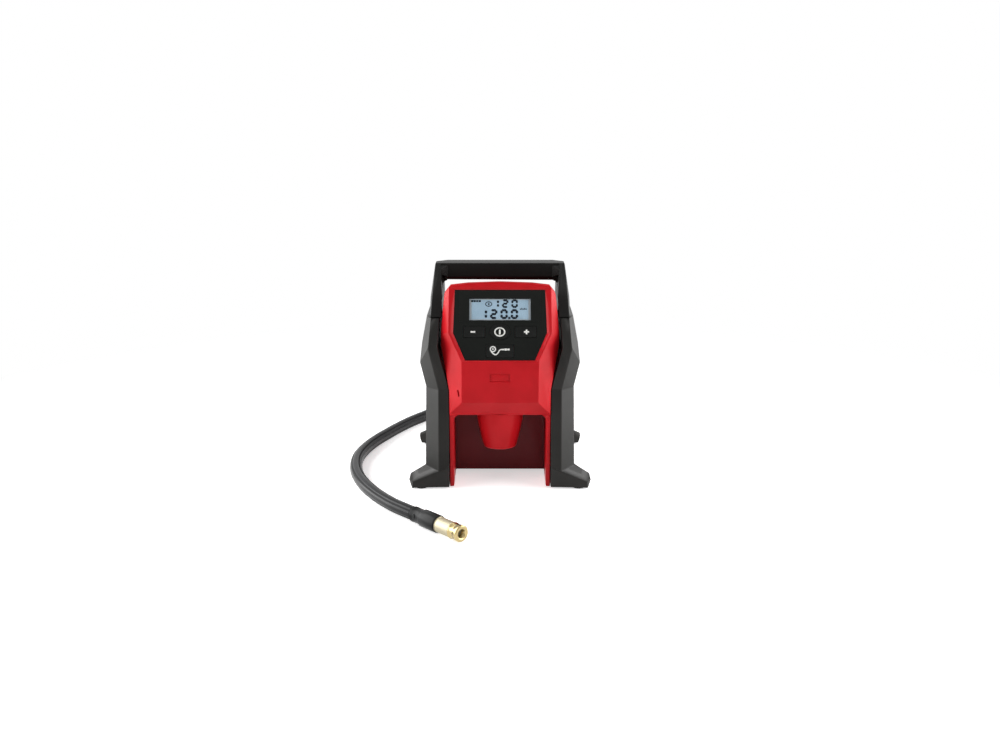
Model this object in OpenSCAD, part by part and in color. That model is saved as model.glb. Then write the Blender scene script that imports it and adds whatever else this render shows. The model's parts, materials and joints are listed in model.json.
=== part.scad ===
// Portable tire inflator: a red housing with a tilted display, carried in two black side frames that
// end in splayed feet and a carrying handle. A motor, a pair of gears and a crank drive a piston pump,
// and a rubber hose with a brass screw-on chuck carries the air out.
// Millimetres, +Z up, front towards -Y, origin on the floor at the middle of the feet.

/* [Housing] */
// Half width of the housing beside the battery bay
body_hw = 47.9; // [46:0.1:50]
// Half width of the housing at the display
head_hw = 55.4; // [54:0.1:57]
// Wall thickness of the housing
wall = 2.5; // [2:0.1:3.2]
// Front face of the chin, forward of the middle
chin_y = 84; // [80:0.5:88]
// Lower edge of the chin's front face
chin_z = 85.4; // [82:0.1:88]
// Crease where the chin meets the tilted display face
crease_z = 124.6; // [122:0.1:127]
// Backward tilt of the display face from upright, in degrees
tilt = 26.8; // [22:0.1:30]
// Highest point of the housing
head_z = 193.3; // [190:0.1:197]
// Rear face of the housing
rear_y = 60; // [56:1:66]
// Plane where the front and the rear housing meet
split_y = -6; // [-12:1:2]

/* [Battery bay] */
// Half width of the bay
bay_hw = 43.7; // [42:0.1:44.5]
// Front edges of the bay's cheeks, forward of the middle
cheek_y = 72; // [68:1:74]
// Back wall of the bay, forward of the middle
bay_y = 33; // [31:0.5:36]
// Ceiling of the bay
bay_z = 70.5; // [68:0.5:72]
// Half width of the battery receptacle at its top
socket_top_r = 22.9; // [21.5:0.1:24]
// Half width of the battery receptacle at its mouth
socket_low_r = 16; // [14.5:0.1:17.5]
// Height of the receptacle's mouth above the floor
socket_z = 34; // [30:0.5:38]
// Wall thickness of the receptacle
socket_wall = 2.8; // [2:0.1:3.5]

/* [Display] */
// Depth of the fascia below the rim
rim_h = 1.5; // [1:0.1:2]
// Thickness of the fascia
fascia_t = 2.2; // [1.6:0.1:2.6]
// Half width of the display window
lcd_hw = 28.8; // [26:0.1:31]
// Lower edge of the display window, measured up the slope
lcd_s = 40.5; // [39:0.1:42]
// Height of the display window along the slope
lcd_h = 21.2; // [18:0.1:23]
// Width of the oval power button
power_w = 19.2; // [16:0.1:20]
// Height of the power button along the slope
power_h = 15.4; // [13:0.1:17]
// Width of the minus and plus buttons
key_w = 20; // [17:0.1:21]
// Height of the minus and plus buttons along the slope
key_h = 11; // [9:0.1:12]
// Travel of a button
key_travel = 0.8; // [0.4:0.1:1]

/* [Side frames] */
// Half distance between the inner tops of the front legs
knee_in = 58.3; // [57.2:0.1:59]
// Width of a leg's front face
leg_w = 10; // [8:0.1:12]
// Outer half width of the legs
leg_out = 70.6; // [68:0.1:72]
// Outer half width at the knees
knee_out = 75.9; // [74:0.1:78]
// Height where the front leg starts to lean
leg_z = 94.2; // [90:0.2:98]
// Height of the widest point of the knee
knee_z = 118.3; // [115:0.1:122]
// Height of the shoulder above the knee
shoulder_z = 135.9; // [132:0.1:140]
// Front face of the front legs below the knee, forward of the middle
leg_y = 68; // [66:0.5:71]
// How much further forward the leg stands at the floor
leg_lean = 13; // [10:0.5:14]
// Rear face of the rear legs
leg_back = 66; // [62:1:68]
// Half width between the tips of the feet
foot_hw = 86.6; // [82:0.1:92]
// Height of the foot's outer tip
foot_z = 8; // [6:0.5:10]
// Thickness of a rubber foot pad
pad_t = 1.2; // [0.8:0.1:2]
// Diameter of a rubber foot pad
pad_d = 12; // [10:0.5:13]

/* [Handle] */
// Height of the seam between the frames and the handle
seam_z = 161; // [158:0.5:164]
// Height of the handle's top face
top_z = 206.8; // [203:0.1:213]
// Thickness of the grip bar
bar_t = 16.5; // [14:0.1:20]
// Depth of the grip bar from front to rear
bar_d = 23.5; // [18:0.5:28]
// Front face of the grip bar, forward of the middle
bar_y = 17; // [12:0.5:24]
// Half width of the opening between the arms
arm_in = 55; // [54.2:0.1:55.8]

/* [Pump] */
// Outer diameter of the motor can
motor_d = 36; // [34:0.5:38]
// Length of the motor can
motor_l = 34; // [28:1:35]
// Height of the motor's axis
motor_z = 40; // [38:0.5:41]
// Teeth on the pinion
pinion_teeth = 15; // [13:1:17]
// Teeth on the crank gear
gear_teeth = 45; // [41:1:47]
// Gear module, the pitch diameter per tooth
gear_m = 1; // [0.95:0.01:1.03]
// Width of the gears
gear_w = 7; // [5:0.5:8]
// Crank radius, half of the piston's stroke
crank_r = 7; // [5:0.5:8]
// Clear height between the crank gear and the cylinder
rod_spare = 1.5; // [1:0.1:4]
// Bore of the cylinder
bore_d = 22; // [19:0.5:23]
// Wall of the cylinder
cyl_wall = 2.2; // [1.8:0.1:3]
// Diameter of the wrist pin
wrist_d = 4; // [3:0.1:5]
// Diameter of the crank shaft
shaft_d = 8; // [6:0.1:9]
// Diameter of the motor shaft
rotor_d = 4; // [3:0.1:5]

/* [Hose and chuck] */
// Outer diameter of the hose
hose_d = 12.5; // [11:0.1:13]
// Outer diameter of the crimped sleeve
sleeve_d = 15.6; // [14.5:0.1:16]
// Length of the crimped sleeve
sleeve_l = 34.5; // [31:0.5:37]
// Outer diameter of the brass chuck
chuck_d = 13.8; // [12.5:0.1:14.4]
// Length of the brass chuck body
chuck_l = 18; // [16:0.5:21]
// Outer diameter of the turning collar
collar_d = 14.6; // [14:0.1:15.2]
// Length of the turning collar
collar_l = 11.5; // [10.5:0.5:14]
// Bore of the chuck that goes over a tire valve
valve_bore = 8; // [7.7:0.1:8.8]

/* [Fits] */
// Gap between parts that are seated beside each other
seat = 0.3; // [0.2:0.05:0.4]
// Radial clearance of turning and sliding parts
run = 0.06; // [0.04:0.01:0.09]
// Diameter of the assembly screws
screw_d = 3.6; // [3:0.1:4]

/* [Hidden] */

red = "#b8222c";
black = "#2e2e2c";
rubber = "#1d1d1d";
steel = "#b9bcc0";
brass = "#e3cf9a";
alloy = "#a9adb2";
board_green = "#1f5b3a";

$fn = 48;
far = 400;          // reach of a cut that passes right through
eps = 0.01;         // overlap of a cut with the face that it starts on

// ---------- small geometry helpers ----------

// Corner i of an outline whose edges move inwards, edge i by d[i]; the outline runs anticlockwise.
function unit(v) = v / norm(v);
function inward(a, b) = let (u = unit(b - a)) [-u[1], u[0]];
function corner(a, b, c, da, db) =
    let (
        ua = unit(b - a), ub = unit(c - b),
        pa = b + da * inward(a, b), pb = b + db * inward(b, c),
        cross_ab = ua[0] * ub[1] - ua[1] * ub[0],
        gap = pb - pa,
        t = (gap[0] * ub[1] - gap[1] * ub[0]) / cross_ab
    )
    pa + t * ua;
function inset(p, d) =
    let (n = len(p))
    [for (i = [0 : n - 1]) corner(p[(i + n - 1) % n], p[i], p[(i + 1) % n], d[(i + n - 1) % n], d[i])];

// A closed solid through level outlines that all have the same number of points, listed anticlockwise.
module loft(levels) {
    n = len(levels[0][1]);
    last = len(levels) - 1;
    points = [for (level = levels) for (p = level[1]) [p[0], p[1], level[0]]];
    sides = [
        for (k = [0 : last - 1]) for (i = [0 : n - 1])
            let (j = (i + 1) % n, a = k * n + i, b = k * n + j, c = b + n, d = a + n)
            each (i < n / 2 ? [[a, d, b], [d, c, b]] : [[a, d, c], [a, c, b]])
    ];
    caps = [[for (i = [0 : n - 1]) i], [for (i = [n - 1 : -1 : 0]) last * n + i]];
    polyhedron(points, concat(caps, sides));
}

module both_sides() {
    children();
    mirror([1, 0, 0]) children();
}
// Local x, y, z become the object's y, z, x.
module along_x(x, y, z) translate([x, y, z]) rotate([90, 0, 90]) children();
// Local z points to the rear.
module along_y(x, y, z) translate([x, y, z]) rotate([-90, 0, 0]) children();
// The display face: local x across, local y up the slope from the crease, local z outwards.
module on_slope(h = 0) translate([0, -chin_y, crease_z]) rotate([90 - tilt, 0, 0]) translate([0, 0, h]) children();
module ring(outer_r, inner_r, h) difference() {
    cylinder(r = outer_r, h = h);
    translate([0, 0, -1]) cylinder(r = inner_r, h = h + 2);
}
// A screw that points along +z: a domed head below z = 0 and a shank above.
module screw(length, head_d = 0, head_h = 2.2) difference() {
    union() {
        cylinder(d = screw_d, h = length, $fn = 24);
        translate([0, 0, -head_h]) cylinder(d = head_d > 0 ? head_d : screw_d + 3.2, h = head_h, $fn = 32);
    }
    translate([0, 0, -head_h - eps]) cylinder(d = screw_d * 0.7, h = head_h * 0.6, $fn = 6);
}

// ---------- housing ----------

brow_y = -chin_y + (head_z - crease_z) * tan(tilt);          // front edge of the head's top
head_edge_y = -43;                                           // rear edge of the head's top
head_back_y = -37;                                           // rear of the head, behind the display
head_slope = 8;                                              // drop from the top to the rear of the head
deck_z = 157;                                                // top of the body under the handle
deck_front_y = -32;
deck_back_y = 20;
deck_drop = 3;
base_z = 0.6;                                                // lower edges of the housing's sides and cheeks
belly_z = 3.6;                                               // underside of the housing between them
cheek_lean = 3.5;                                            // how much further forward the cheeks stand below
rear_bend_z = 116;                                           // where the rear face starts to lean forward
rear_slope_z = 137;
shoulder_y = 50;
chin_lip = 2.4;                                              // height of the small slope under the chin
panel_h = -rim_h;                                            // outer face of the fascia, from the rim
panel_back = -rim_h - fascia_t;                              // inner face of the fascia
face_wall = rim_h + fascia_t + 2;                            // wall behind the display rim

// Side view of the housing, y and z, anticlockwise when seen from -X towards +X.
function rear_and_top(low) = [
    [rear_y, low], [rear_y, rear_bend_z], [shoulder_y, rear_slope_z], [deck_back_y, deck_z - deck_drop],
    [deck_front_y, deck_z], [head_back_y, head_z - head_slope], [head_edge_y, head_z], [brow_y, head_z],
    [-chin_y, crease_z], [-chin_y, chin_z]
];
function side_outline() = concat([[-cheek_y - cheek_lean, base_z]], rear_and_top(base_z),
    [[-cheek_y - 2, bay_z + chin_lip], [-cheek_y, bay_z]]);
// The same without the bay and its cheeks, which stay open.
function core_outline() = concat([[-bay_y, belly_z]], rear_and_top(belly_z), [[-cheek_y - 2, bay_z], [-bay_y, bay_z]]);
// Front view of the housing, x and z: the right half from the floor up, then its mirror image.
function half_front() = [
    [body_hw, base_z], [body_hw, leg_z], [head_hw, shoulder_z], [head_hw, head_z - 42.3],
    [head_hw - 3, head_z - 11], [head_hw - 8.8, head_z - 3.3], [head_hw - 25.4, head_z - 1.1]
];
function front_outline() = concat(half_front(), [[0, head_z + 0.1]],
    [for (i = [len(half_front()) - 1 : -1 : 0]) [-half_front()[i][0], half_front()[i][1]]]);
module extrude_side(outline, hw) along_x(-hw, 0, 0) linear_extrude(2 * hw) polygon(outline);
module extrude_front(outline, y0, y1) translate([0, y1, 0]) rotate([90, 0, 0]) linear_extrude(y1 - y0) polygon(outline);

chamfer_x = 35.7;                                            // half width of the chin's front face
rim_x = 48.1;                                                // half width of the display rim
module chin_chamfer() both_sides() {
    translate([chamfer_x, -chin_y, bay_z - bay_round]) rotate([0, 0, 45]) translate([-far / 2, -far, 0])
        cube([far, far, far]);
}
module belly_cut() translate([-bay_hw, -bay_y - 1, base_z - 1]) cube([2 * bay_hw, far, belly_z - base_z + 1]);
module rim_chamfer() both_sides() on_slope() translate([rim_x, 0, 0]) rotate([0, 45, 0])
    translate([-far / 2, -far / 2, 0]) cube([far, far, far / 2]);
bay_round = 6;                                               // upper corners of the bay
module bay_cut() extrude_front(concat(
    [[-bay_hw, -1], [bay_hw, -1]],
    [for (a = [0 : 15 : 90]) [bay_hw - bay_round * (1 - cos(a)), bay_z - bay_round * (1 - sin(a))]],
    [for (a = [90 : -15 : 0]) [-bay_hw + bay_round * (1 - cos(a)), bay_z - bay_round * (1 - sin(a))]]
), -far, -bay_y);

// A six-sided outline on the slope: half widths at its lower edge, its widest place and its upper edge,
// and their distances up the slope.
function hexagon(low, mid, high, low_s, mid_s, high_s) = [
    [-low, low_s], [low, low_s], [mid, mid_s], [high, high_s], [-high, high_s], [-mid, mid_s]
];
panel_low = 32.4;
panel_mid = 43.7;
panel_high = 42.4;
panel_low_s = 1.8;
panel_mid_s = 28.1;
panel_high_s = 70.1;
function panel_outline() = hexagon(panel_low, panel_mid, panel_high, panel_low_s, panel_mid_s, panel_high_s);
function rim_outline() = hexagon(chamfer_x - 0.8, rim_x - 0.5, rim_x - 0.6, 0.2, panel_mid_s - 0.5, panel_high_s + 1.9);
// The bevel from the fascia to the rim, carried on to a height above the rim.
function bevel_outline(h) = panel_outline() + (rim_outline() - panel_outline()) * (h + rim_h) / rim_h;
module solid_housing() difference() {
    intersection() {
        extrude_side(side_outline(), far / 2);
        extrude_front(front_outline(), -far, far);
    }
    chin_chamfer();
    rim_chamfer();
    bay_cut();
    belly_cut();
}
brow_wall = 6;                                               // the brow is solid above the display
core_walls = [wall, wall, wall, wall, wall, wall, wall, brow_wall, face_wall, wall, wall, wall, wall];
front_walls = [for (p = front_outline()) wall];
module cavity() difference() {
    intersection() {
        extrude_side(inset(core_outline(), core_walls), far / 2);
        extrude_front(inset(front_outline(), front_walls), -far, far);
    }
    translate([0, wall * sqrt(2), 0]) chin_chamfer();
    translate([0, wall * sqrt(2), 0]) rim_chamfer();
}
module flat_panel(outline, d, low, high) on_slope(low) linear_extrude(high - low)
    polygon(d == 0 ? outline : inset(outline, [for (p = outline) d]));
ledge_w = 1.4;                                               // ledge that the fascia rests on
module panel_pocket() {
    flat_panel(panel_outline(), -run, panel_back, 2);
    flat_panel(panel_outline(), ledge_w, -face_wall - 1, 0);
    on_slope() loft([[panel_h - 0.2, panel_outline()], [panel_h, panel_outline()], [1, bevel_outline(1)]]);
}

boss_r = 4.2;                                                // screw bosses inside the housing
// Half width of the housing at a height between the legs' bend and the shoulder.
function side_at(z) = body_hw + (head_hw - body_hw) * max(0, z - leg_z) / (shoulder_z - leg_z);
boss_in = 5.4;                                               // from the outer side to a boss's axis
function housing_screw_points() = [for (z = [12, 108]) [side_at(z) - boss_in, z]];
housing_screw_l = 30;
screw_start = rear_y - 8;                                    // seat of the housing screws' heads
module housing_bosses(y0, y1) both_sides() for (p = housing_screw_points())
    along_y(p[0], y0, p[1]) cylinder(r = boss_r, h = y1 - y0);
module housing_screw_holes() both_sides() for (p = housing_screw_points()) {
    along_y(p[0], split_y - 20, p[1]) cylinder(d = screw_d + 2 * run, h = far / 4);
    along_y(p[0], screw_start - 2.3, p[1]) cylinder(d = screw_d + 4, h = far / 8);
}
function frame_screw_points() = [[-22, 32], [45, 32], [45, 100]];
frame_boss_l = 9;
module frame_bosses() both_sides() for (p = frame_screw_points())
    along_x(body_hw - wall - frame_boss_l, p[0], p[1]) cylinder(r = boss_r, h = frame_boss_l + 0.5);
module frame_screw_holes() both_sides() for (p = frame_screw_points())
    along_x(body_hw - frame_boss_l - wall - 1, p[0], p[1]) cylinder(d = screw_d + 2 * run, h = far / 8);

side_slots = 6;
module side_louvres() for (side = [-1, 1], i = [0 : side_slots - 1])
    translate([side * body_hw, 15, 55 + 8 * i]) rotate([15, 0, 0]) cube([14, 32, 2.6], center = true);

grille_hw = 25;
grille_low = 66;
grille_high = 104;
module grille_window(gap) translate([-grille_hw - gap, rear_y - 20, grille_low - gap])
    cube([2 * (grille_hw + gap), 40, grille_high - grille_low + 2 * gap]);

hose_x = 33;                                                 // outlet of the hose, on the rear face
hose_z = 50;
outlet_r = 11;
spigot_r = 8;
badge_w = 18.6;
badge_h = 7.6;
badge_z = 109.4;
module badge_cut(gap, depth) translate([-badge_w / 2 - gap, -chin_y - 1, badge_z - badge_h / 2 - gap])
    cube([badge_w + 2 * gap, depth + 1, badge_h + 2 * gap]);
badge_depth = 1.4;
slit_in = 3.2;                                               // from the chamfer's front edge
slit_up = 8.4;                                               // above the chin's lower edge
slit_w = 2;
slit_h = 6.4;

module front_housing() color(red) difference() {
    union() {
        difference() {
            solid_housing();
            cavity();
            translate([-far / 2, split_y, -far / 2]) cube([far, far, far]);
        }
        difference() {
            union() {
                housing_bosses(split_y - 14, split_y);
                frame_bosses();
            }
            translate([-far / 2, split_y, -far / 2]) cube([far, far, far]);
        }
    }
    panel_pocket();
    housing_screw_holes();
    frame_screw_holes();
    badge_cut(run, badge_depth);
    translate([0, -50, bay_z - 4]) cylinder(r = socket_top_r - socket_wall - 1.2, h = 8);
    // short slit in the left chamfer
    translate([-chamfer_x - slit_in, -chin_y + slit_in, chin_z + slit_up]) rotate([0, -14, -45])
        cube([slit_w, 2 * wall + 2, slit_h], center = true);
}
module rear_housing() color(red) difference() {
    union() {
        intersection() {
            difference() {
                solid_housing();
                cavity();
            }
            translate([-far / 2, split_y, -far / 2]) cube([far, far, far]);
        }
        housing_bosses(split_y, rear_y - wall / 2);
        intersection() {
            frame_bosses();
            translate([-far / 2, split_y, -far / 2]) cube([far, far, far]);
        }
    }
    housing_screw_holes();
    frame_screw_holes();
    grille_window(run);
    along_y(hose_x, rear_y - 10, hose_z) cylinder(r = spigot_r + run, h = 20);
    side_louvres();
}
module rear_grille() color(black) {
    difference() {
        translate([-grille_hw, rear_y - wall, grille_low])
            cube([2 * grille_hw, wall + 1, grille_high - grille_low]);
        for (i = [0 : 6]) translate([-grille_hw + 3, rear_y - 10, grille_low + 3 + 4.8 * i])
            cube([2 * grille_hw - 6, 20, 2.8]);
    }
}

// ---------- battery socket ----------

socket_y = -50;
socket_bulge = 0.8;                                          // swell of its sides halfway up
socket_edge = 1.2;                                           // slope round its mouth
function socket_side(shrink) = let (mid_r = (socket_low_r + socket_top_r) / 2 + socket_bulge) [
    [socket_low_r - shrink, socket_z + socket_edge], [mid_r - shrink, (socket_z + bay_z) / 2],
    [socket_top_r - shrink, bay_z]
];
module battery_receptacle() color(red) difference() {
    translate([0, socket_y, 0]) rotate_extrude($fn = 64) polygon(concat(
        [[0, socket_z], [socket_low_r - socket_edge, socket_z]], socket_side(0), [[0, bay_z]]));
    translate([0, socket_y, 0]) rotate_extrude($fn = 64) polygon(concat(
        [[0, socket_z - 1], [socket_low_r - socket_wall, socket_z - 1]], socket_side(socket_wall),
        [[socket_top_r - socket_wall, bay_z + 1], [0, bay_z + 1]]));
    // flat beside the bay's back wall
    translate([-far / 2, -bay_y - seat, 0]) cube([far, far, far]);
}
terminal_z = 78;
module terminal_block() color(black) difference() {
    union() {
        translate([0, socket_y, bay_z]) cylinder(r = socket_top_r - socket_wall - 1.2 - seat, h = terminal_z - bay_z);
        translate([0, socket_y, bay_z + wall]) cylinder(r = socket_top_r - 1.2, h = terminal_z - bay_z - wall);
    }
    for (x = [-8, 0, 8]) translate([x - 0.5 - run, socket_y - 4 - run, bay_z - 1]) cube([1 + 2 * run, 8 + 2 * run, 20]);
}
module battery_terminals() color(brass) for (x = [-8, 0, 8])
    translate([x - 0.5, socket_y - 4, bay_z - 16]) cube([1, 8, terminal_z - bay_z + 16 + 4]);

// ---------- display ----------

key_mid_s = 29.1;
key_in = 13.9;
mode_low = 4.2;
mode_h = 12.6;
mode_hw = 13;
key_proud = 0.4;
flange_t = 1;
flange_lip = 1;
board_h = panel_back - 5.1;                                  // inner face of the display board
board_t = 1.6;
module key_outline(kind, grow) {
    if (kind == "power") translate([0, key_mid_s])
        polygon([for (a = [0 : 6 : 354]) [(power_w / 2 + grow) * cos(a), (power_h / 2 + grow) * sin(a)]]);
    if (kind == "minus") translate([-key_in - key_w - grow, key_mid_s - key_h / 2 - grow])
        square([key_w + 2 * grow, key_h + 2 * grow]);
    if (kind == "plus") translate([key_in - grow, key_mid_s - key_h / 2 - grow])
        square([key_w + 2 * grow, key_h + 2 * grow]);
    if (kind == "mode") translate([-mode_hw - grow, mode_low - grow])
        square([2 * (mode_hw + grow), mode_h + 2 * grow]);
}
KEYS = ["minus", "plus", "power", "mode"];
key_gap = 0.25;
module key(kind) {
    on_slope(panel_back - seat - flange_t) linear_extrude(fascia_t + seat + flange_t + key_proud) key_outline(kind, -key_gap);
    on_slope(panel_back - seat - flange_t) linear_extrude(flange_t) key_outline(kind, flange_lip - key_gap);
}
module button_minus() color(rubber) key("minus");
module button_plus() color(rubber) key("plus");
module button_power() color(rubber) key("power");
module button_mode() color(rubber) key("mode");
module window_outline(grow) translate([-lcd_hw - grow, lcd_s - grow]) square([2 * (lcd_hw + grow), lcd_h + 2 * grow]);
posts = [[-36, 40], [36, 40], [-36, 63], [36, 63], [-24, 9], [24, 9]];
module display_panel() color(rubber) difference() {
    union() {
        flat_panel(panel_outline(), 0, panel_back, panel_h);
        for (p = posts) on_slope(board_h + board_t) translate([p[0], p[1], 0])
            cylinder(r = 1.6, h = panel_back - board_h - board_t + eps);
    }
    for (k = KEYS) on_slope(panel_back - 1) linear_extrude(fascia_t + 2) key_outline(k, 0);
    on_slope(panel_back - 1) linear_extrude(fascia_t + 2) window_outline(0);
}
module display_lens() color("#9fb9cc") on_slope(panel_back) linear_extrude(fascia_t - 0.5) window_outline(-run);
module lcd_module() color("#8fa9bd") on_slope(board_h + board_t)
    linear_extrude(panel_back - board_h - board_t) window_outline(1);
board_outline = [[-26, 4.6], [26, 4.6], [38.5, 30], [38.5, 66], [-38.5, 66], [-38.5, 30]];
module display_board() color(board_green) on_slope(board_h) linear_extrude(board_t) polygon(board_outline);
switch_points = [[-24, 29.1], [24, 29.1], [0, 29.1], [0, 9.9]];
switch_w = 6;
switch_h = panel_back - seat - flange_t - key_travel - seat - board_h - board_t;
module keypad_mat() color("#4a4a4a") on_slope(board_h + board_t) linear_extrude(switch_h - 0.2) difference() {
    polygon([[-20, 6.6], [20, 6.6], [34, 33], [34, 37], [-34, 37], [-34, 33]]);
    for (p = switch_points) translate(p) square(switch_w + 4 * run, center = true);
}
module tactile_switches() color(steel) for (p = switch_points) on_slope(board_h + board_t)
    translate([p[0] - switch_w / 2, p[1] - switch_w / 2, 0]) cube([switch_w, switch_w, switch_h]);
module badge_plate() color(red) translate([-badge_w / 2, -chin_y + 0.6, badge_z - badge_h / 2])
    cube([badge_w, badge_depth - 0.6, badge_h]);

// ---------- side frames, feet and handle ----------

leg_in = body_hw + seat;
leg_ridge = leg_in + leg_w;
arm_ridge = 65.2;                                            // outer edge of a shoulder's front facet
arm_out = 69.5;                                              // half width over the shoulders at the seam
knee_y = leg_y + 7;                                          // the knee leans forward of the leg
seam_front = 60;
seam_back = 22;
rear_reach = leg_back + 9;                                   // backs of the rear feet
leg_bevel = 12.5;                                            // depth of the facets on the outer corners
knee_bevel = 14;
shoulder_bevel = 24;
seam_bevel = 18;
facet_w = 9;                                                 // width of the facet that faces the front at the knee
// One level of a side frame: inner edge, front ridge, outer face, and the same at the rear.
function frame_level(z, x_in, x_ridge, x_out, y_front, y_back, bevel) = [z, [
    [x_in, -y_front], [x_ridge, -y_front], [x_out, -y_front + bevel],
    [x_out, y_back - bevel], [x_ridge, y_back], [x_in, y_back]
]];
function lean(a, b) = a + (b - a) * (knee_z - leg_z) / (shoulder_z - leg_z);
toe_y = leg_y + leg_lean;
module frame_shell() loft([
    frame_level(pad_t, leg_in, leg_ridge, leg_out, toe_y, leg_back, leg_bevel),
    frame_level(foot_rise, leg_in, leg_ridge, leg_out, toe_y, leg_back, leg_bevel),
    frame_level(leg_z, leg_in, leg_ridge, leg_out, leg_y, leg_back, leg_bevel),
    frame_level(knee_z, lean(leg_in, knee_in), lean(leg_ridge, knee_in + facet_w), knee_out, lean(leg_y, knee_y),
        leg_back - 2, knee_bevel),
    frame_level(shoulder_z, knee_in, knee_in + facet_w, knee_out - 1.8, knee_y, leg_back - 12, shoulder_bevel),
    frame_level(seam_z, arm_in + 1.8, arm_ridge, arm_out, seam_front, seam_back, seam_bevel)
]);
foot_join = 24;                                              // height up to which a foot is drawn
foot_rise = 17;                                              // height of its top at the leg's front ridge
foot_tilt = 32.8;                                            // slope of its top, and where that slope points
foot_turn = -56.7;
toe_point = 2;                                               // how much further out the tip stands
module foot(front) mirror([0, front ? 0 : 1, 0]) translate([0, front ? 0 : toe_y + toe_point - rear_reach, 0]) difference() {
    intersection() {
        extrude_front([
            [leg_in, pad_t], [foot_hw - 2.8, pad_t], [foot_hw, foot_z], [foot_hw - 1, foot_z + 4],
            [leg_out + 2, foot_join], [leg_in, foot_join]
        ], -far, far);
        linear_extrude(far / 4) polygon([
            [leg_in, -toe_y], [leg_ridge, -toe_y], [foot_hw - 3.6, -toe_y - toe_point], [foot_hw + 0.2, -toe_y + 4.5],
            [foot_hw - 1.3, -toe_y + 10], [leg_out - 0.5, -toe_y + 15], [leg_in, -toe_y + 22]
        ]);
    }
    translate([leg_ridge, -toe_y, foot_rise]) rotate([0, foot_tilt, foot_turn]) translate([-far / 2, -far / 2, 0])
        cube([far, far, far]);
}
tenon_y0 = -38;
tenon_y1 = 0;
tenon_h = 13;
tenon_x0 = 59;
tenon_x1 = 64.5;
module tenon(gap) translate([tenon_x0 - gap, tenon_y0 - gap, seam_z - tenon_h - gap])
    cube([tenon_x1 - tenon_x0 + 2 * gap, tenon_y1 - tenon_y0 + 2 * gap, tenon_h + 2 * gap]);
function handle_screw_points() = [[-29, seam_z - 7], [-9, seam_z - 7]];
window_outline_yz = [[-34, 56], [-20, 44], [24, 44], [36, 56], [36, 96], [20, 118], [-14, 118], [-34, 96]];
recess_outline_yz = [[-52, 40], [-42, 26], [44, 26], [50, 34], [50, 100], [26, 128], [-24, 128], [-52, 106]];
arch_outline_yz = [[-44, -1], [36, -1], [28, 17], [-36, 17]];
recess_x = 61;
pad_points = [[75, -toe_y + 6], [75, rear_reach - 8]];
module frame_cut(outline, x0) along_x(x0, 0, 0) linear_extrude(far / 4) polygon(outline);
module side_frame() difference() {
    union() {
        frame_shell();
        foot(true);
        foot(false);
    }
    frame_cut(window_outline_yz, leg_in - 10);
    frame_cut(recess_outline_yz, recess_x);
    frame_cut(arch_outline_yz, leg_in - 10);
    tenon(run);
    for (p = frame_screw_points()) {
        along_x(leg_in - 10, p[0], p[1]) cylinder(d = screw_d + 2 * run, h = far / 4);
        along_x(recess_x - 3, p[0], p[1]) cylinder(d = screw_d + 4, h = far / 4);
    }
    for (p = handle_screw_points()) {
        along_x(arm_in - 4, p[0], p[1]) cylinder(d = screw_d + 2 * run, h = far / 4);
        along_x(arm_ridge + 1, p[0], p[1]) cylinder(d = screw_d + 4, h = far / 4);
    }
    for (p = pad_points) translate([p[0], p[1], -1]) cylinder(d = pad_d - 5 + 2 * run, h = 1 + 2 * pad_t);
}
module right_frame() color(black) side_frame();
module left_frame() color(black) mirror([1, 0, 0]) side_frame();
module foot_pads() color(rubber) both_sides() for (p = pad_points) translate([p[0], p[1], 0]) {
    cylinder(d = pad_d, h = pad_t);
    cylinder(d = pad_d - 5, h = 2 * pad_t);
}

arm_top = 62.3;                                              // half width of the handle at its top
arm_back = 51.5;                                             // the same at its rear edge
waist_ridge = 64.4;                                          // half widths where the arms narrow
waist_out = 66.2;
waist_back = 62;
waist_up = 16;                                               // height of that level above the seam
seam_side = 66.8;                                            // half width of the handle at the seam
groove = 0.9;                                                // depth and height of the groove at the seam
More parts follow.
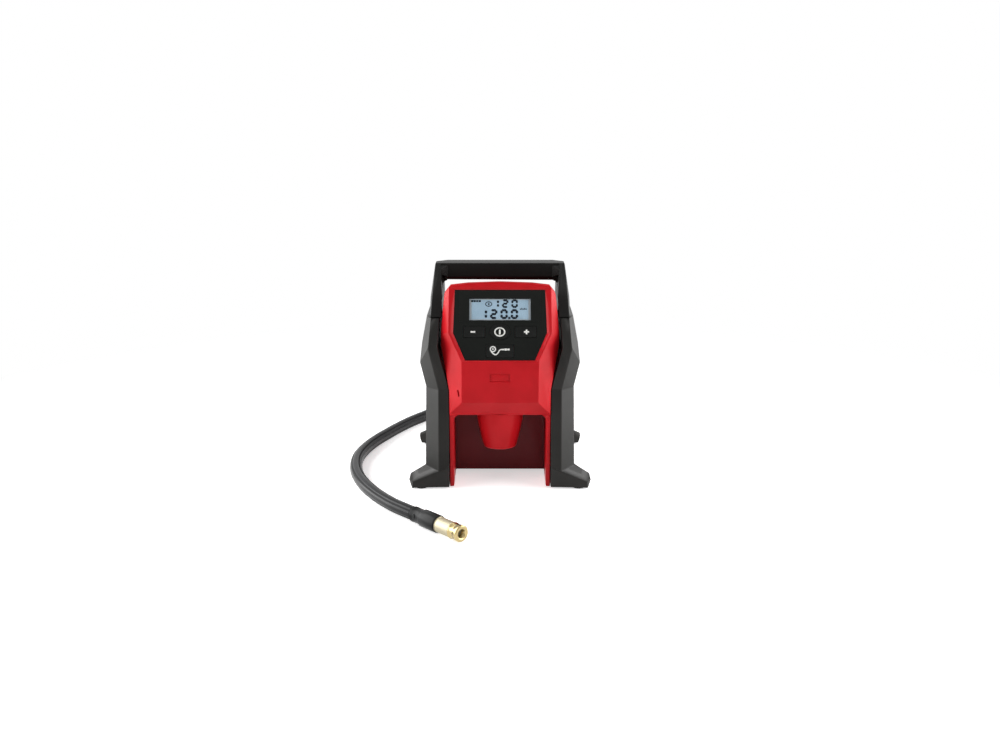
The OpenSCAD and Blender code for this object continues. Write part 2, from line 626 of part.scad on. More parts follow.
// One level of the handle: half widths at the front, at the side and at the rear, then its depths.
function handle_level(z, front, side, rear, y_front, y_back, bevel) = [z, [
    [-front, -y_front], [front, -y_front], [side, -y_front + bevel], [side, y_back - bevel],
    [rear, y_back], [-rear, y_back], [-side, y_back - bevel], [-side, -y_front + bevel]
]];
bar_back = -bar_y + bar_d;
corner_web = 5;
module handle() color(black) difference() {
    union() {
        difference() {
            loft([
                handle_level(seam_z, arm_ridge - groove, seam_side - groove, arm_ridge - groove,
                    seam_front - groove, seam_back - groove, seam_bevel),
                handle_level(seam_z + groove, arm_ridge - groove, seam_side - groove, arm_ridge - groove,
                    seam_front - groove, seam_back - groove, seam_bevel),
                handle_level(seam_z + groove, arm_ridge, seam_side, arm_ridge, seam_front, seam_back, seam_bevel),
                handle_level(seam_z + waist_up, waist_ridge, waist_out, waist_back, seam_front - 14, seam_back - 3, 12),
                handle_level(top_z, arm_top, arm_top, arm_back, bar_y, bar_back, 9)
            ]);
            // opening under the grip bar, with rounded upper corners
            extrude_front([
                [-arm_in, seam_z - 1], [arm_in, seam_z - 1], [arm_in, top_z - bar_t - 4],
                [arm_in - 1.2, top_z - bar_t - 1.2], [arm_in - 4, top_z - bar_t],
                [-arm_in + 4, top_z - bar_t], [-arm_in + 1.2, top_z - bar_t - 1.2],
                [-arm_in, top_z - bar_t - 4]
            ], -far, far);
            // the bar stands back from the arms
            extrude_front([[-arm_in - 2, top_z + 1], [-arm_in + 1, seam_z - 1], [arm_in - 1, seam_z - 1],
                [arm_in + 2, top_z + 1]], -far, -bar_y);
            extrude_front([[-arm_in, seam_z - 1], [arm_in, seam_z - 1], [arm_in, top_z + 1], [-arm_in, top_z + 1]],
                bar_back, far);
            // softened lower edges of the bar
            for (edge = [-bar_y, bar_back]) translate([0, edge, top_z - bar_t]) rotate([45, 0, 0])
                cube([2 * arm_in - 8, 5, 5], center = true);
        }
        both_sides() tenon(0);
        // webs in the corners between the arms and the bar
        both_sides() hull() {
            translate([arm_in - corner_web, -bar_y - eps, top_z - bar_t + 3]) cube([corner_web + 2, 1, bar_t - 5]);
            translate([arm_in + 1, -bar_y - corner_web, top_z - bar_t + 6]) cube([1, 1, bar_t - 11]);
        }
    }
    both_sides() for (p = handle_screw_points())
        along_x(arm_in - 4, p[0], p[1]) cylinder(d = screw_d + 2 * run, h = far / 8);
}

// ---------- motor and gears ----------

pump_y = 14;                                                 // middle of the motor, crank and cylinder
fan_gap = 1.4;                                               // from the housing's side to the motor shaft
fan_l = 8;
bell_t = 4;
shaft_end = 1;
plate_x = -(body_hw - wall) + fan_gap + shaft_end + fan_l + bell_t + motor_l;   // motor side of the gear bracket
plate_t = 3;
gear_x = plate_x + plate_t + 1;
pitch_gap = gear_m * (pinion_teeth + gear_teeth) / 2;
crank_z = motor_z + pitch_gap;
pin_x = gear_x + gear_w;
rod_x = pin_x + 1.5;
rod_t = 5;
cyl_x = rod_x + rod_t / 2;
gear_tip = gear_m * (gear_teeth / 2 + 0.92);
cyl_low = crank_z + gear_tip + rod_spare;                    // lower edge of the cylinder
wrist_z = cyl_low + 4;                                       // wrist pin at the bottom of the stroke
rod_l = wrist_z - crank_z + crank_r;

pressure_angle = 25;
backlash = 0.16;
function involute(base, r) = let (a = acos(min(1, base / r))) tan(a) * 180 / PI - a;
// Half of a tooth's angle at radius r.
function tooth_half(teeth, r) =
    let (pitch_r = gear_m * teeth / 2, base = pitch_r * cos(pressure_angle))
    90 / teeth - backlash / pitch_r * 90 / PI + involute(base, pitch_r) - involute(base, max(r, base));
module gear_profile(teeth) {
    pitch_r = gear_m * teeth / 2;
    base = pitch_r * cos(pressure_angle);
    root = pitch_r - 1.2 * gear_m;
    tip = pitch_r + 0.92 * gear_m;
    low = max(base, root + 0.1);
    steps = [0, 0.35, 0.7, 1];
    polygon([for (i = [0 : teeth - 1]) let (mid = 360 * i / teeth) each concat(
        [let (a = mid - tooth_half(teeth, low)) root * [cos(a), sin(a)]],
        [for (s = steps) let (r = low + (tip - low) * s, a = mid - tooth_half(teeth, r)) r * [cos(a), sin(a)]],
        [for (k = [3 : -1 : 0]) let (r = low + (tip - low) * steps[k], a = mid + tooth_half(teeth, r))
            r * [cos(a), sin(a)]],
        [let (a = mid + tooth_half(teeth, low)) root * [cos(a), sin(a)]]
    )]);
}
can_wall = 1.6;
motor_x = plate_x - motor_l;                                 // rear end of the can
fan_x = motor_x - bell_t - fan_l;
module motor_can() color(steel) along_x(motor_x, pump_y, motor_z) difference() {
    cylinder(d = motor_d, h = motor_l);
    translate([0, 0, -1]) cylinder(d = motor_d - 2 * can_wall, h = motor_l - can_wall);
    cylinder(d = rotor_d + 2 * run, h = far / 4);
    for (a = [0, 180]) rotate(a) translate([9, 0, 0]) cylinder(d = 2.6, h = far / 4, $fn = 24);
}
magnet_t = 4;
module motor_magnets() color("#3a3a3a") along_x(motor_x + 3, pump_y, motor_z) for (a = [0, 180]) rotate(a)
    intersection() {
        ring(motor_d / 2 - can_wall - run, motor_d / 2 - can_wall - magnet_t, motor_l - 8);
        translate([0, 0, -1]) linear_extrude(far / 4) polygon([[0, 0], [30, -26], [30, 26]]);
    }
module motor_end_bell() color(black) along_x(motor_x - bell_t, pump_y, motor_z) difference() {
    union() {
        cylinder(d = motor_d, h = bell_t);
        translate([0, 0, -1]) cylinder(d = 12, h = bell_t + 3);
    }
    translate([0, 0, -3]) cylinder(d = rotor_d + 2 * run, h = 20);
    for (a = [0 : 90 : 270]) rotate(a + 45) translate([12, 0, -1]) cylinder(d = 5, h = bell_t + 2, $fn = 24);
}
armature_r = motor_d / 2 - can_wall - magnet_t - 0.5;
module rotor() color("#8c6a3a") along_x(fan_x - shaft_end, pump_y, motor_z) {
    cylinder(d = rotor_d, h = gear_x + gear_w - fan_x);
    translate([0, 0, motor_x + 5 - fan_x + shaft_end]) difference() {
        cylinder(r = armature_r, h = motor_l - 12);
        for (i = [0 : 6]) rotate(360 / 7 * i) translate([armature_r - 2.4, -1, -1]) cube([6, 2, motor_l]);
    }
}
module pinion() color(steel) along_x(gear_x, pump_y, motor_z) rotate(90) difference() {
    linear_extrude(gear_w) gear_profile(pinion_teeth);
    translate([0, 0, -1]) cylinder(d = rotor_d + 2 * run, h = gear_w + 2);
}
fan_r = 14;
module cooling_fan() color(black) along_x(fan_x, pump_y, motor_z) difference() {
    union() {
        cylinder(d = 10, h = 6);
        translate([0, 0, 5]) cylinder(r = fan_r, h = 1);
        for (i = [0 : 8]) rotate(40 * i) translate([3, -0.6, 0]) cube([fan_r - 3.4, 1.2, 5.5]);
    }
    translate([0, 0, -1]) cylinder(d = rotor_d + 2 * run, h = 10);
}
bearing_d = 16;
bearing_w = 5;
bracket_foot = 12;
bracket_hw = 24;
column_t = 5;                                                // columns that carry the cylinder beside the gears
column_w = 12;
column_y = bore_d / 2 + cyl_wall + 4;
floor_z = belly_z + wall;
bed_z = floor_z + seat;
module gear_bracket() color(alloy) difference() {
    union() {
        along_x(plate_x, 0, 0) linear_extrude(plate_t) polygon([
            [pump_y - bracket_hw, bed_z], [pump_y + bracket_hw, bed_z], [pump_y + 20, motor_z],
            [pump_y + 13, crank_z + 10], [pump_y - 13, crank_z + 10], [pump_y - 20, motor_z]
        ]);
        translate([plate_x - bracket_foot, pump_y - bracket_hw, bed_z])
            cube([2 * bracket_foot + 20, 2 * bracket_hw, plate_t]);
        along_x(plate_x - bearing_w - 1, pump_y, crank_z) cylinder(d = bearing_d + 5, h = bearing_w + 1);
        for (y = [pump_y + column_y, pump_y - column_y - column_t]) translate([cyl_x - 3, y, bed_z])
            cube([column_w, column_t, cyl_low - bed_z]);
    }
    along_x(plate_x - 10, pump_y, motor_z) cylinder(d = 12, h = far / 4);
    along_x(plate_x - bearing_w - 2, pump_y, crank_z) cylinder(d = bearing_d + 2 * run, h = bearing_w + 2);
    along_x(plate_x - 10, pump_y, crank_z) cylinder(d = shaft_d + 3, h = 30);
    for (a = [0, 180]) along_x(plate_x - 1, pump_y, motor_z) rotate(a) translate([9, 0, 0])
        cylinder(d = 2.6, h = plate_t + 2, $fn = 24);
}
module crank_bearing() color(steel) along_x(plate_x - bearing_w, pump_y, crank_z)
    ring(bearing_d / 2, shaft_d / 2 + run, bearing_w);
module crank_shaft() color(steel) along_x(plate_x - bearing_w - 2, pump_y, crank_z)
    cylinder(d = shaft_d, h = pin_x - plate_x + bearing_w + 2);
module crank_gear() color(steel) along_x(gear_x, pump_y, crank_z) difference() {
    union() {
        rotate(-90 + 180 / gear_teeth) linear_extrude(gear_w) gear_profile(gear_teeth);
        translate([0, -crank_r, gear_w]) cylinder(d = 8, h = 1.2);
    }
    translate([0, 0, -1]) cylinder(d = shaft_d + 2 * run, h = gear_w + 2);
    for (a = [30 : 60 : 330]) rotate(a) translate([14, 0, -1]) cylinder(d = 8, h = gear_w + 2);
}

// ---------- piston pump ----------

piston_h = 12;
piston_low = wrist_z - 3;
head_gap = 0.6;                                              // left above the piston at the top of its stroke
cyl_high = piston_low + piston_h + 2 * crank_r + head_gap;
module piston_rod() color(alloy) difference() {
    union() {
        along_x(rod_x, pump_y, wrist_z - rod_l) cylinder(d = 12, h = rod_t);
        along_x(rod_x, pump_y, wrist_z) cylinder(d = wrist_d + 4.4, h = rod_t);
        translate([rod_x + 0.6, pump_y - 2.5, wrist_z - rod_l + 4]) cube([rod_t - 1.2, 5, rod_l - 6]);
    }
    along_x(rod_x - 1, pump_y, wrist_z) cylinder(d = wrist_d + 2 * run, h = rod_t + 2);
    along_x(rod_x - 1, pump_y, wrist_z - rod_l) cylinder(d = 5, h = rod_t + 2);
}
module piston() color(alloy) difference() {
    translate([cyl_x, pump_y, piston_low]) cylinder(r = bore_d / 2 - 0.3, h = piston_h);
    // slot for the rod, deep enough for it to swing
    translate([rod_x - 0.4, pump_y - 6.5, piston_low - 1]) cube([rod_t + 0.8, 13, 9.5]);
    along_x(cyl_x - far / 4, pump_y, wrist_z) cylinder(d = wrist_d + 2 * run, h = far / 2);
    translate([cyl_x, pump_y, piston_low + piston_h - 4]) ring(bore_d, bore_d / 2 - 2, 2);
}
module piston_seal() color(rubber) translate([cyl_x, pump_y, piston_low + piston_h - 4 + run])
    ring(bore_d / 2 - run, bore_d / 2 - 2 + run, 2 - 2 * run);
module wrist_pin() color(steel) along_x(cyl_x - bore_d / 2 + 2.5, pump_y, wrist_z) cylinder(d = wrist_d, h = bore_d - 5);
cyl_r = bore_d / 2 + cyl_wall;
fin_r = cyl_r + 3.6;
module cylinder_body() difference() {
    union() {
        cylinder(r = cyl_r, h = cyl_high - cyl_low);
        for (z = [4 : 4 : cyl_high - cyl_low - 4]) translate([0, 0, z]) cylinder(r = fin_r, h = 1.4);
        translate([0, 0, cyl_high - cyl_low - 3]) cylinder(r = fin_r, h = 3);
        // ears that stand on the bracket's columns
        translate([-3, -column_y - column_t, 0]) cube([column_w, 2 * (column_y + column_t), 3]);
    }
    translate([0, 0, -1]) cylinder(d = bore_d, h = far / 4);
}
module cylinder_node() color(alloy) translate([cyl_x, pump_y, cyl_low]) difference() {
    cylinder_body();
    for (a = head_angles) rotate(a) translate([fin_r - 2.2, 0, -1]) cylinder(d = 2.2 + 2 * run, h = far / 4, $fn = 24);
}
head_angles = [45, 135, 225, 315];
plate_h = 1.6;
head_h = 9;
module valve_plate() color(steel) translate([cyl_x, pump_y, cyl_high]) difference() {
    cylinder(r = fin_r, h = plate_h);
    for (x = [-5, 5]) translate([x, 0, -1]) cylinder(d = 3, h = plate_h + 2);
    for (a = head_angles) rotate(a) translate([fin_r - 2.2, 0, -1]) cylinder(d = 2.2 + 2 * run, h = 10, $fn = 24);
}
module reed_valve() color("#7d8a99") translate([cyl_x, pump_y, cyl_high + plate_h]) {
    translate([2, -2.2, 0]) cube([6, 4.4, 0.3]);
    translate([5, 0, 0]) cylinder(r = 2.2, h = 0.3);
}
nipple_z = cyl_high + plate_h + 6;
module cylinder_head() color(alloy) translate([cyl_x, pump_y, cyl_high + plate_h]) difference() {
    union() {
        cylinder(r = fin_r, h = head_h);
        translate([0, 0, 6]) rotate([-90, 0, 0]) cylinder(d = 6, h = fin_r + 4);
        for (x = [-8, -4, 0, 4, 8]) translate([x - 0.6, -7.5, head_h - eps]) cube([1.2, 15, 2]);
    }
    translate([0, 0, -1]) cylinder(r = 9, h = 5);
    translate([0, 0, 6]) rotate([-90, 0, 0]) cylinder(d = 3, h = fin_r + 5);
    for (a = head_angles) rotate(a) translate([fin_r - 2.2, 0, -1]) cylinder(d = 2.2 + 2 * run, h = 30, $fn = 24);
}
module cylinder_screws() color(steel) translate([cyl_x, pump_y, 0]) for (a = head_angles) rotate(a)
    translate([fin_r - 2.2, 0, 0]) {
        translate([0, 0, cyl_high - 8]) cylinder(d = 2.2, h = 8 + plate_h + head_h + eps, $fn = 24);
        translate([0, 0, cyl_high + plate_h + head_h]) cylinder(d = 4, h = 1.6, $fn = 24);
    }
module motor_screws() color(steel) for (a = [0, 180]) along_x(plate_x - 4, pump_y, motor_z) rotate(a)
    translate([9, 0, 0]) {
        cylinder(d = 2.4, h = plate_t + 4 + eps, $fn = 24);
        translate([0, 0, plate_t + 4]) cylinder(d = 3.6, h = 0.7, $fn = 24);
    }

// ---------- boards and air line ----------

control_z = 12;
module control_board() color(board_green) {
    translate([-38, -bay_y + wall + 1, control_z]) cube([70, 1.6, 46]);
    for (x = [-30, -16, -2, 12]) translate([x, -bay_y + wall + 2.6, control_z + 8]) cube([9, 3, 10]);
    translate([-20, -bay_y + wall + 2.6, control_z + 26]) cube([24, 4, 14]);
    // rails that stand on the bay's back wall
    for (x = [-36, 26]) translate([x, -bay_y + wall, control_z + 2]) cube([4, 1, 42]);
}
tube_d = 6;
tube_y0 = pump_y + fin_r + 4;
module air_tube() color("#d8d8d8") difference() {
    union() {
        along_y(cyl_x, tube_y0, nipple_z) cylinder(d = tube_d, h = 6);
        translate([cyl_x, tube_y0 + 6, nipple_z]) sphere(d = tube_d, $fn = 32);
        translate([cyl_x, tube_y0 + 6, sensor_z + 12]) cylinder(d = tube_d, h = nipple_z - sensor_z - 12);
    }
    along_y(cyl_x, tube_y0 - 1, nipple_z) cylinder(d = 3, h = 7);
}
sensor_z = 78;
sensor_y = pump_y + gear_tip + 2;
module pressure_sensor() color(black) {
    translate([cyl_x - 7, sensor_y, sensor_z - 6]) cube([14, rear_y - wall - sensor_y, 12]);
    translate([cyl_x, tube_y0 + 6, sensor_z + 6]) cylinder(d = tube_d, h = 6);
}
relief_l = 34;
outlet_y = rear_y + 6;
module hose_outlet() color(rubber) {
    along_y(hose_x, rear_y, hose_z) cylinder(r = outlet_r, h = outlet_y - rear_y);
    along_y(hose_x, rear_y - 8, hose_z) cylinder(r = spigot_r, h = 8 + eps);
    along_y(hose_x, outlet_y, hose_z) cylinder(r1 = outlet_r - 1.5, r2 = hose_d / 2 + 1, h = relief_l);
    for (i = [0 : 4]) along_y(hose_x, outlet_y + 4 + 6 * i, hose_z)
        cylinder(r = outlet_r - 0.9 - 0.55 * i, h = 2.4);
}

// ---------- hose and chuck ----------

hose_r = hose_d / 2;
hose_start = outlet_y + relief_l;
chuck_turn = -47.5;                                          // direction of the chuck on the floor
chuck_from = [-75, -169, sleeve_d / 2 + 0.1];
// Middle line of the hose from the strain relief to the crimped sleeve.
function hose_route() = [
    [hose_x, hose_start, hose_z], [hose_x, hose_start + 16, hose_z - 1], [32, 134, 43], [28, 154, 31],
    [18, 172, 19], [2, 185, 10], [-17, 192, hose_r], [-37, 192, hose_r], [-57, 185, hose_r],
    [-73, 171, hose_r], [-86, 150, hose_r], [-100, 127, hose_r], [-112, 103, hose_r],
    [-123, 77, hose_r], [-133, 51, hose_r], [-140, 25, hose_r], [-144, -2, hose_r], [-143, -30, hose_r],
    [-138, -58, hose_r], [-128, -87, hose_r], [-114, -115, hose_r], [-98, -141, 7], [-85, -158, 7.7],
    chuck_from
];
function route_way(p, i) =
    i == 0 ? [0, 1, 0] :
    i == len(p) - 1 ? [cos(chuck_turn), sin(chuck_turn), 0] : unit(p[i + 1] - p[i - 1]);
module tube(p, r, n) {
    rings = [for (i = [0 : len(p) - 1])
        let (way = route_way(p, i), across = unit(cross(way, [0, 0, 1])), over = cross(across, way))
        each [for (k = [0 : n - 1]) let (a = 360 * k / n) p[i] + r * (cos(a) * across + sin(a) * over)]];
    last = len(p) - 1;
    polyhedron(rings, concat(
        [[for (k = [0 : n - 1]) k]],
        [[for (k = [n - 1 : -1 : 0]) last * n + k]],
        [for (i = [0 : last - 1]) for (k = [0 : n - 1])
            let (j = (k + 1) % n, a = i * n + k, b = i * n + j)
            each [[a, a + n, b], [b, a + n, b + n]]]
    ));
}
module hose() color(rubber) tube(hose_route(), hose_r, 12);
module on_chuck(d) translate(chuck_from) rotate([0, 0, chuck_turn]) rotate([0, 90, 0]) translate([0, 0, d]) children();
module hose_sleeve() color(rubber) {
    on_chuck(0) cylinder(d = sleeve_d - 1.6, h = 9 + eps);
    on_chuck(9) cylinder(d = sleeve_d, h = sleeve_l - 9);
}
neck_d = 11;
neck_l = collar_l - 5.5;
module chuck_body() color(brass) on_chuck(sleeve_l) difference() {
    union() {
        cylinder(d = chuck_d, h = chuck_l);
        translate([0, 0, chuck_l - eps]) cylinder(d = neck_d, h = neck_l);
    }
    translate([0, 0, 4]) cylinder(d = 4, h = far / 4);
}
module chuck_collar() color(brass) on_chuck(sleeve_l + chuck_l + seat / 2) difference() {
    cylinder(d = collar_d, h = collar_l);
    translate([0, 0, -1]) cylinder(d = valve_bore, h = collar_l + 2);
    translate([0, 0, -1]) cylinder(d = neck_d + 2 * run, h = neck_l + 1);
    for (a = [0 : 60 : 300]) rotate(a) translate([collar_d / 2 - 0.45, -far / 2, 1.5]) cube([far, far, collar_l - 5.5]);
}
module chuck_seal() color(rubber) on_chuck(sleeve_l + chuck_l + neck_l - 3)
    ring(2, 1.2, 1);

// ---------- fasteners ----------

module housing_screws() color(steel) both_sides() for (p = housing_screw_points())
    translate([p[0], screw_start - 2.3, p[1]]) rotate([90, 0, 0]) screw(housing_screw_l, screw_d + 3.4);
module frame_screws() color(steel) both_sides() for (p = frame_screw_points())
    translate([recess_x - 3, p[0], p[1]]) rotate([0, -90, 0]) screw(recess_x - 3 - body_hw + wall + 5, screw_d + 3.4);
module handle_screws() color(steel) both_sides() for (p = handle_screw_points())
    translate([arm_ridge + 1, p[0], p[1]]) rotate([0, -90, 0]) screw(arm_ridge + 1 - arm_in - 2, screw_d + 3.4);

// The solids are drawn about the middle of the feet, then moved so that the origin lies half way between
// the front of the chin and the backs of the rear feet.
module placed() translate([0, (chin_y - rear_reach) / 2, 0]) children();

placed() front_housing();
placed() rear_housing();
placed() battery_receptacle();
placed() terminal_block();
placed() battery_terminals();
placed() display_panel();
placed() display_lens();
placed() lcd_module();
placed() button_minus();
placed() button_plus();
placed() button_power();
placed() button_mode();
placed() keypad_mat();
placed() tactile_switches();
placed() display_board();
placed() control_board();
placed() badge_plate();
placed() left_frame();
placed() right_frame();
placed() handle();
placed() foot_pads();
placed() rear_grille();
placed() hose_outlet();
placed() hose();
placed() hose_sleeve();
placed() chuck_body();
placed() chuck_collar();
placed() chuck_seal();
placed() motor_can();
placed() motor_magnets();
placed() motor_end_bell();
placed() rotor();
placed() pinion();
placed() cooling_fan();
placed() gear_bracket();
placed() crank_bearing();
placed() crank_gear();
placed() crank_shaft();
placed() piston_rod();
placed() piston();
placed() piston_seal();
placed() wrist_pin();
placed() cylinder_node();  // cylinder
placed() cylinder_head();
placed() valve_plate();
placed() reed_valve();
placed() air_tube();
placed() pressure_sensor();
placed() motor_screws();
placed() cylinder_screws();
placed() housing_screws();
placed() frame_screws();
placed() handle_screws();
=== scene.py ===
# %% [markdown]
# # A portable tire inflator
# A red housing with a tilted display sits between two black side frames. The frames end in splayed feet
# and carry a handle. A short rubber hose comes out of the back, curls round on the floor and ends in a
# brass chuck that screws onto a tire valve. The solid frame of the part is loaded first, and each step
# then gives one piece its rounded edges, its small details and its finish.

# %% Load the solid frame
import json
import math
from contextlib import contextmanager

import bmesh
import bpy
from mathutils import Matrix, Vector

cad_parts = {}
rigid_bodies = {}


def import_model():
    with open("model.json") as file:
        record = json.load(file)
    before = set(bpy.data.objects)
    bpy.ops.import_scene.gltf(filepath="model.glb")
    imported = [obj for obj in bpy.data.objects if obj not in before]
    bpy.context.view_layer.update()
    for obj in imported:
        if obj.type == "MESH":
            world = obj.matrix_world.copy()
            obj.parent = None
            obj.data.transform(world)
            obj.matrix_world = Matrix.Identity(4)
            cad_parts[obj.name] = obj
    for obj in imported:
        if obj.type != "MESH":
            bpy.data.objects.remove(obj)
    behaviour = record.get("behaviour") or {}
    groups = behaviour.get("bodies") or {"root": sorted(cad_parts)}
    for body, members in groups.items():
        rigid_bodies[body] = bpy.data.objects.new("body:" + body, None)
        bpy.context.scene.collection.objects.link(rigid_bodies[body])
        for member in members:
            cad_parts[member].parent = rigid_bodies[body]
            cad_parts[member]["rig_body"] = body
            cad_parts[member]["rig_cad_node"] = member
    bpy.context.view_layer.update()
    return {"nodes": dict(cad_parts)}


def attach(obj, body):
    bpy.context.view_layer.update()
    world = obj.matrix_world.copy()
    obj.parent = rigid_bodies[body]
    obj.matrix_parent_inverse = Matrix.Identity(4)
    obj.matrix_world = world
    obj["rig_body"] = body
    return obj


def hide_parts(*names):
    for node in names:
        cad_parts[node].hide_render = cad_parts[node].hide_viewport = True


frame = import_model()
print("solids loaded:", len(frame["nodes"]))

# %% [markdown]
# The object is drawn in millimetres about the middle of its feet, and the frame's origin lies half way
# between its foremost and its rearmost point. One function turns drawing millimetres into metres here, so
# that every number below can be compared with a ruler. The display face leans back, so it gets a matrix of
# its own: x runs across, y up the slope from the crease above the chin, and z outwards.

# %% Places in millimetres
MM = 0.001
SHIFT = 4.5
TILT = 26.8
CHIN_Y = -84
CREASE_Z = 124.6


def at(x, y, z):
    return Vector((x, y + SHIFT, z)) * MM


def shift(x, y, z):
    return Matrix.Translation(Vector((x, y, z)) * MM)


def rotation(degrees, axis):
    return Matrix.Rotation(math.radians(degrees), 4, axis)


SLOPE = Matrix.Translation(at(0, CHIN_Y, CREASE_Z)) @ rotation(90 - TILT, "X")

# %% [markdown]
# The camera stands a little over a metre in front of the inflator and looks slightly down, as in a
# catalogue. It comes first, because the hose has to lie where this camera sees it.

# %% Camera
CAMERA_SPOT = (0, -1111.2, 365.5)
CAMERA_DOWN = 13.85
CAMERA_LENS = 41.1
camera_data = bpy.data.cameras.new("camera")
camera_data.lens = CAMERA_LENS
camera = bpy.data.objects.new("camera", camera_data)
bpy.context.collection.objects.link(camera)
camera.location = at(*CAMERA_SPOT)
camera.rotation_euler = (math.radians(90 - CAMERA_DOWN), 0, 0)
bpy.context.scene.camera = camera

# %% [markdown]
# Modelling operators act on whatever is selected. This helper selects one piece alone, opens it in edit
# mode and closes it again, so a step can't change another piece by accident. Faces and edges are then
# picked in code, by their place or by the way they face.

# %% Editing helpers
SMOOTH_UNDER = 35


def alone(piece):
    bpy.ops.object.select_all(action="DESELECT")
    piece.select_set(True)
    bpy.context.view_layer.objects.active = piece


@contextmanager
def editing(piece):
    alone(piece)
    bpy.ops.object.mode_set(mode="EDIT")
    yield bmesh.from_edit_mesh(piece.data)
    bpy.ops.object.mode_set(mode="OBJECT")


def pick(mesh, test, kind="FACE"):
    """Selects faces or edges of an open mesh. The test gets the middle, and a face's normal or the edge."""
    bpy.ops.mesh.select_mode(type=kind)
    bpy.ops.mesh.select_all(action="DESELECT")
    for part in mesh.faces if kind == "FACE" else mesh.edges:
        if kind == "FACE":
            chosen = test(part.calc_center_median(), part.normal)
        else:
            chosen = test((part.verts[0].co + part.verts[1].co) / 2, part)
        part.select_set(bool(chosen))
    mesh.select_flush_mode()


def place(piece, matrix):
    """Moves the piece's mesh, and leaves its object at the origin."""
    piece.data.transform(matrix)
    piece.data.update()
    return piece


def apply_modifier(piece, kind, **settings):
    alone(piece)
    modifier = piece.modifiers.new(kind.lower(), kind)
    for key, value in settings.items():
        setattr(modifier, key, value)
    bpy.ops.object.modifier_apply(modifier=modifier.name)


def smooth(piece):
    """Shades the piece smooth, apart from edges sharper than an angle in degrees."""
    alone(piece)
    bpy.ops.object.shade_smooth_by_angle(angle=math.radians(SMOOTH_UNDER))
    return piece


def round_edges(piece, width, segments=3, angle=30):
    """Rounds every edge that is sharper than the angle, and shades the piece smooth."""
    apply_modifier(piece, "BEVEL", width=width * MM, segments=segments, limit_method="ANGLE",
                   angle_limit=math.radians(angle), harden_normals=False, use_clamp_overlap=True)
    return smooth(piece)


def join(name, pieces):
    bpy.ops.object.select_all(action="DESELECT")
    for piece in pieces:
        piece.select_set(True)
    bpy.context.view_layer.objects.active = pieces[0]
    if len(pieces) > 1:
        bpy.ops.object.join()
    pieces[0].name = name
    return pieces[0]


def dress(piece, material, body="root", replaces=()):
    """Gives a finished piece its material, its body and the solids that it stands for."""
    piece.data.materials.clear()
    piece.data.materials.append(material)
    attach(piece, body)
    for node in replaces:
        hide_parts(node)
    return piece


# %% [markdown]
# Four ways to start a piece cover nearly everything here. A block is a cube added at its size. A plate is
# a flat outline, or the frame between two outlines, that is extruded. A turned piece is half of its
# section, spun once round. The big moulded shells already have their exact form in the frame, so a step
# takes a copy of that solid, merges its loose triangles into clean faces, and rounds the edges the way a
# mould does. Where rounded edges may not overlap, one small edge narrows the rounding of all its
# neighbours, so on the largest mouldings only the long edges are rounded, and short ones stay sharp.

# %% Ways to start a piece
WELD, SOLID_WELD = 1e-6, 2e-6
FLAT_WITHIN = 1
STRAY_SHARE = 0.6
FACET_ANGLE = 22


def new_piece(name, mesh):
    piece = bpy.data.objects.new(name, mesh)
    bpy.context.collection.objects.link(piece)
    return piece


def block(name, low, high):
    size = [b - a for a, b in zip(low, high)]
    middle = [(a + b) / 2 for a, b in zip(low, high)]
    bpy.ops.object.select_all(action="DESELECT")
    bpy.ops.mesh.primitive_cube_add(size=1)
    piece = bpy.context.active_object
    piece.name = name
    return place(piece, shift(*middle) @ Matrix.Diagonal([length * MM for length in size] + [1]))


def thicken(piece, height):
    """Gives a flat piece its thickness, upwards."""
    with editing(piece):
        bpy.ops.mesh.select_all(action="SELECT")
        bpy.ops.mesh.extrude_region_move(TRANSFORM_OT_translate={"value": (0, 0, height * MM)})
        bpy.ops.mesh.select_all(action="SELECT")
        bpy.ops.mesh.normals_make_consistent(inside=False)
    return piece


def plate(name, outline, low, high):
    mesh = bpy.data.meshes.new(name)
    mesh.from_pydata([Vector((x, y, low)) * MM for x, y in outline], [], [list(range(len(outline)))])
    return thicken(new_piece(name, mesh), high - low)


def framed_plate(name, outside, inside, low, high):
    """A plate with a window in it. Both outlines have as many corners, in the same order."""
    count = len(outside)
    mesh = bpy.data.meshes.new(name)
    points = [Vector((x, y, low)) * MM for x, y in outside + inside]
    around = [(i, (i + 1) % count) for i in range(count)]
    mesh.from_pydata(points, [], [(i, after, count + after, count + i) for i, after in around])
    return thicken(new_piece(name, mesh), high - low)


def turned(name, section, steps=64):
    """Spins a section, a list of radius and height, about the z axis. It runs from axis to axis."""
    mesh = bpy.data.meshes.new(name)
    points = [Vector((r, 0, z)) * MM for r, z in section]
    mesh.from_pydata(points, [(i, i + 1) for i in range(len(points) - 1)], [])
    piece = new_piece(name, mesh)
    with editing(piece):
        bpy.ops.mesh.select_all(action="SELECT")
        bpy.ops.mesh.spin(steps=steps, angle=math.tau, center=(0, 0, 0), axis=(0, 0, 1))
        bpy.ops.mesh.select_all(action="SELECT")
        bpy.ops.mesh.remove_doubles(threshold=WELD)
        bpy.ops.mesh.normals_make_consistent(inside=False)
    return smooth(piece)


def clean_copy(name, node):
    """A copy of a solid whose triangles are merged into flat faces."""
    solid = frame["nodes"][node]
    piece = solid.copy()
    piece.data = solid.data.copy()
    piece.parent = None
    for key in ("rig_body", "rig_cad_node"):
        del piece[key]
    piece.name = name
    bpy.context.collection.objects.link(piece)
    with editing(piece):
        bpy.ops.mesh.select_all(action="SELECT")
        bpy.ops.mesh.remove_doubles(threshold=SOLID_WELD)
        bpy.ops.mesh.dissolve_limited(angle_limit=math.radians(FLAT_WITHIN))
    return piece


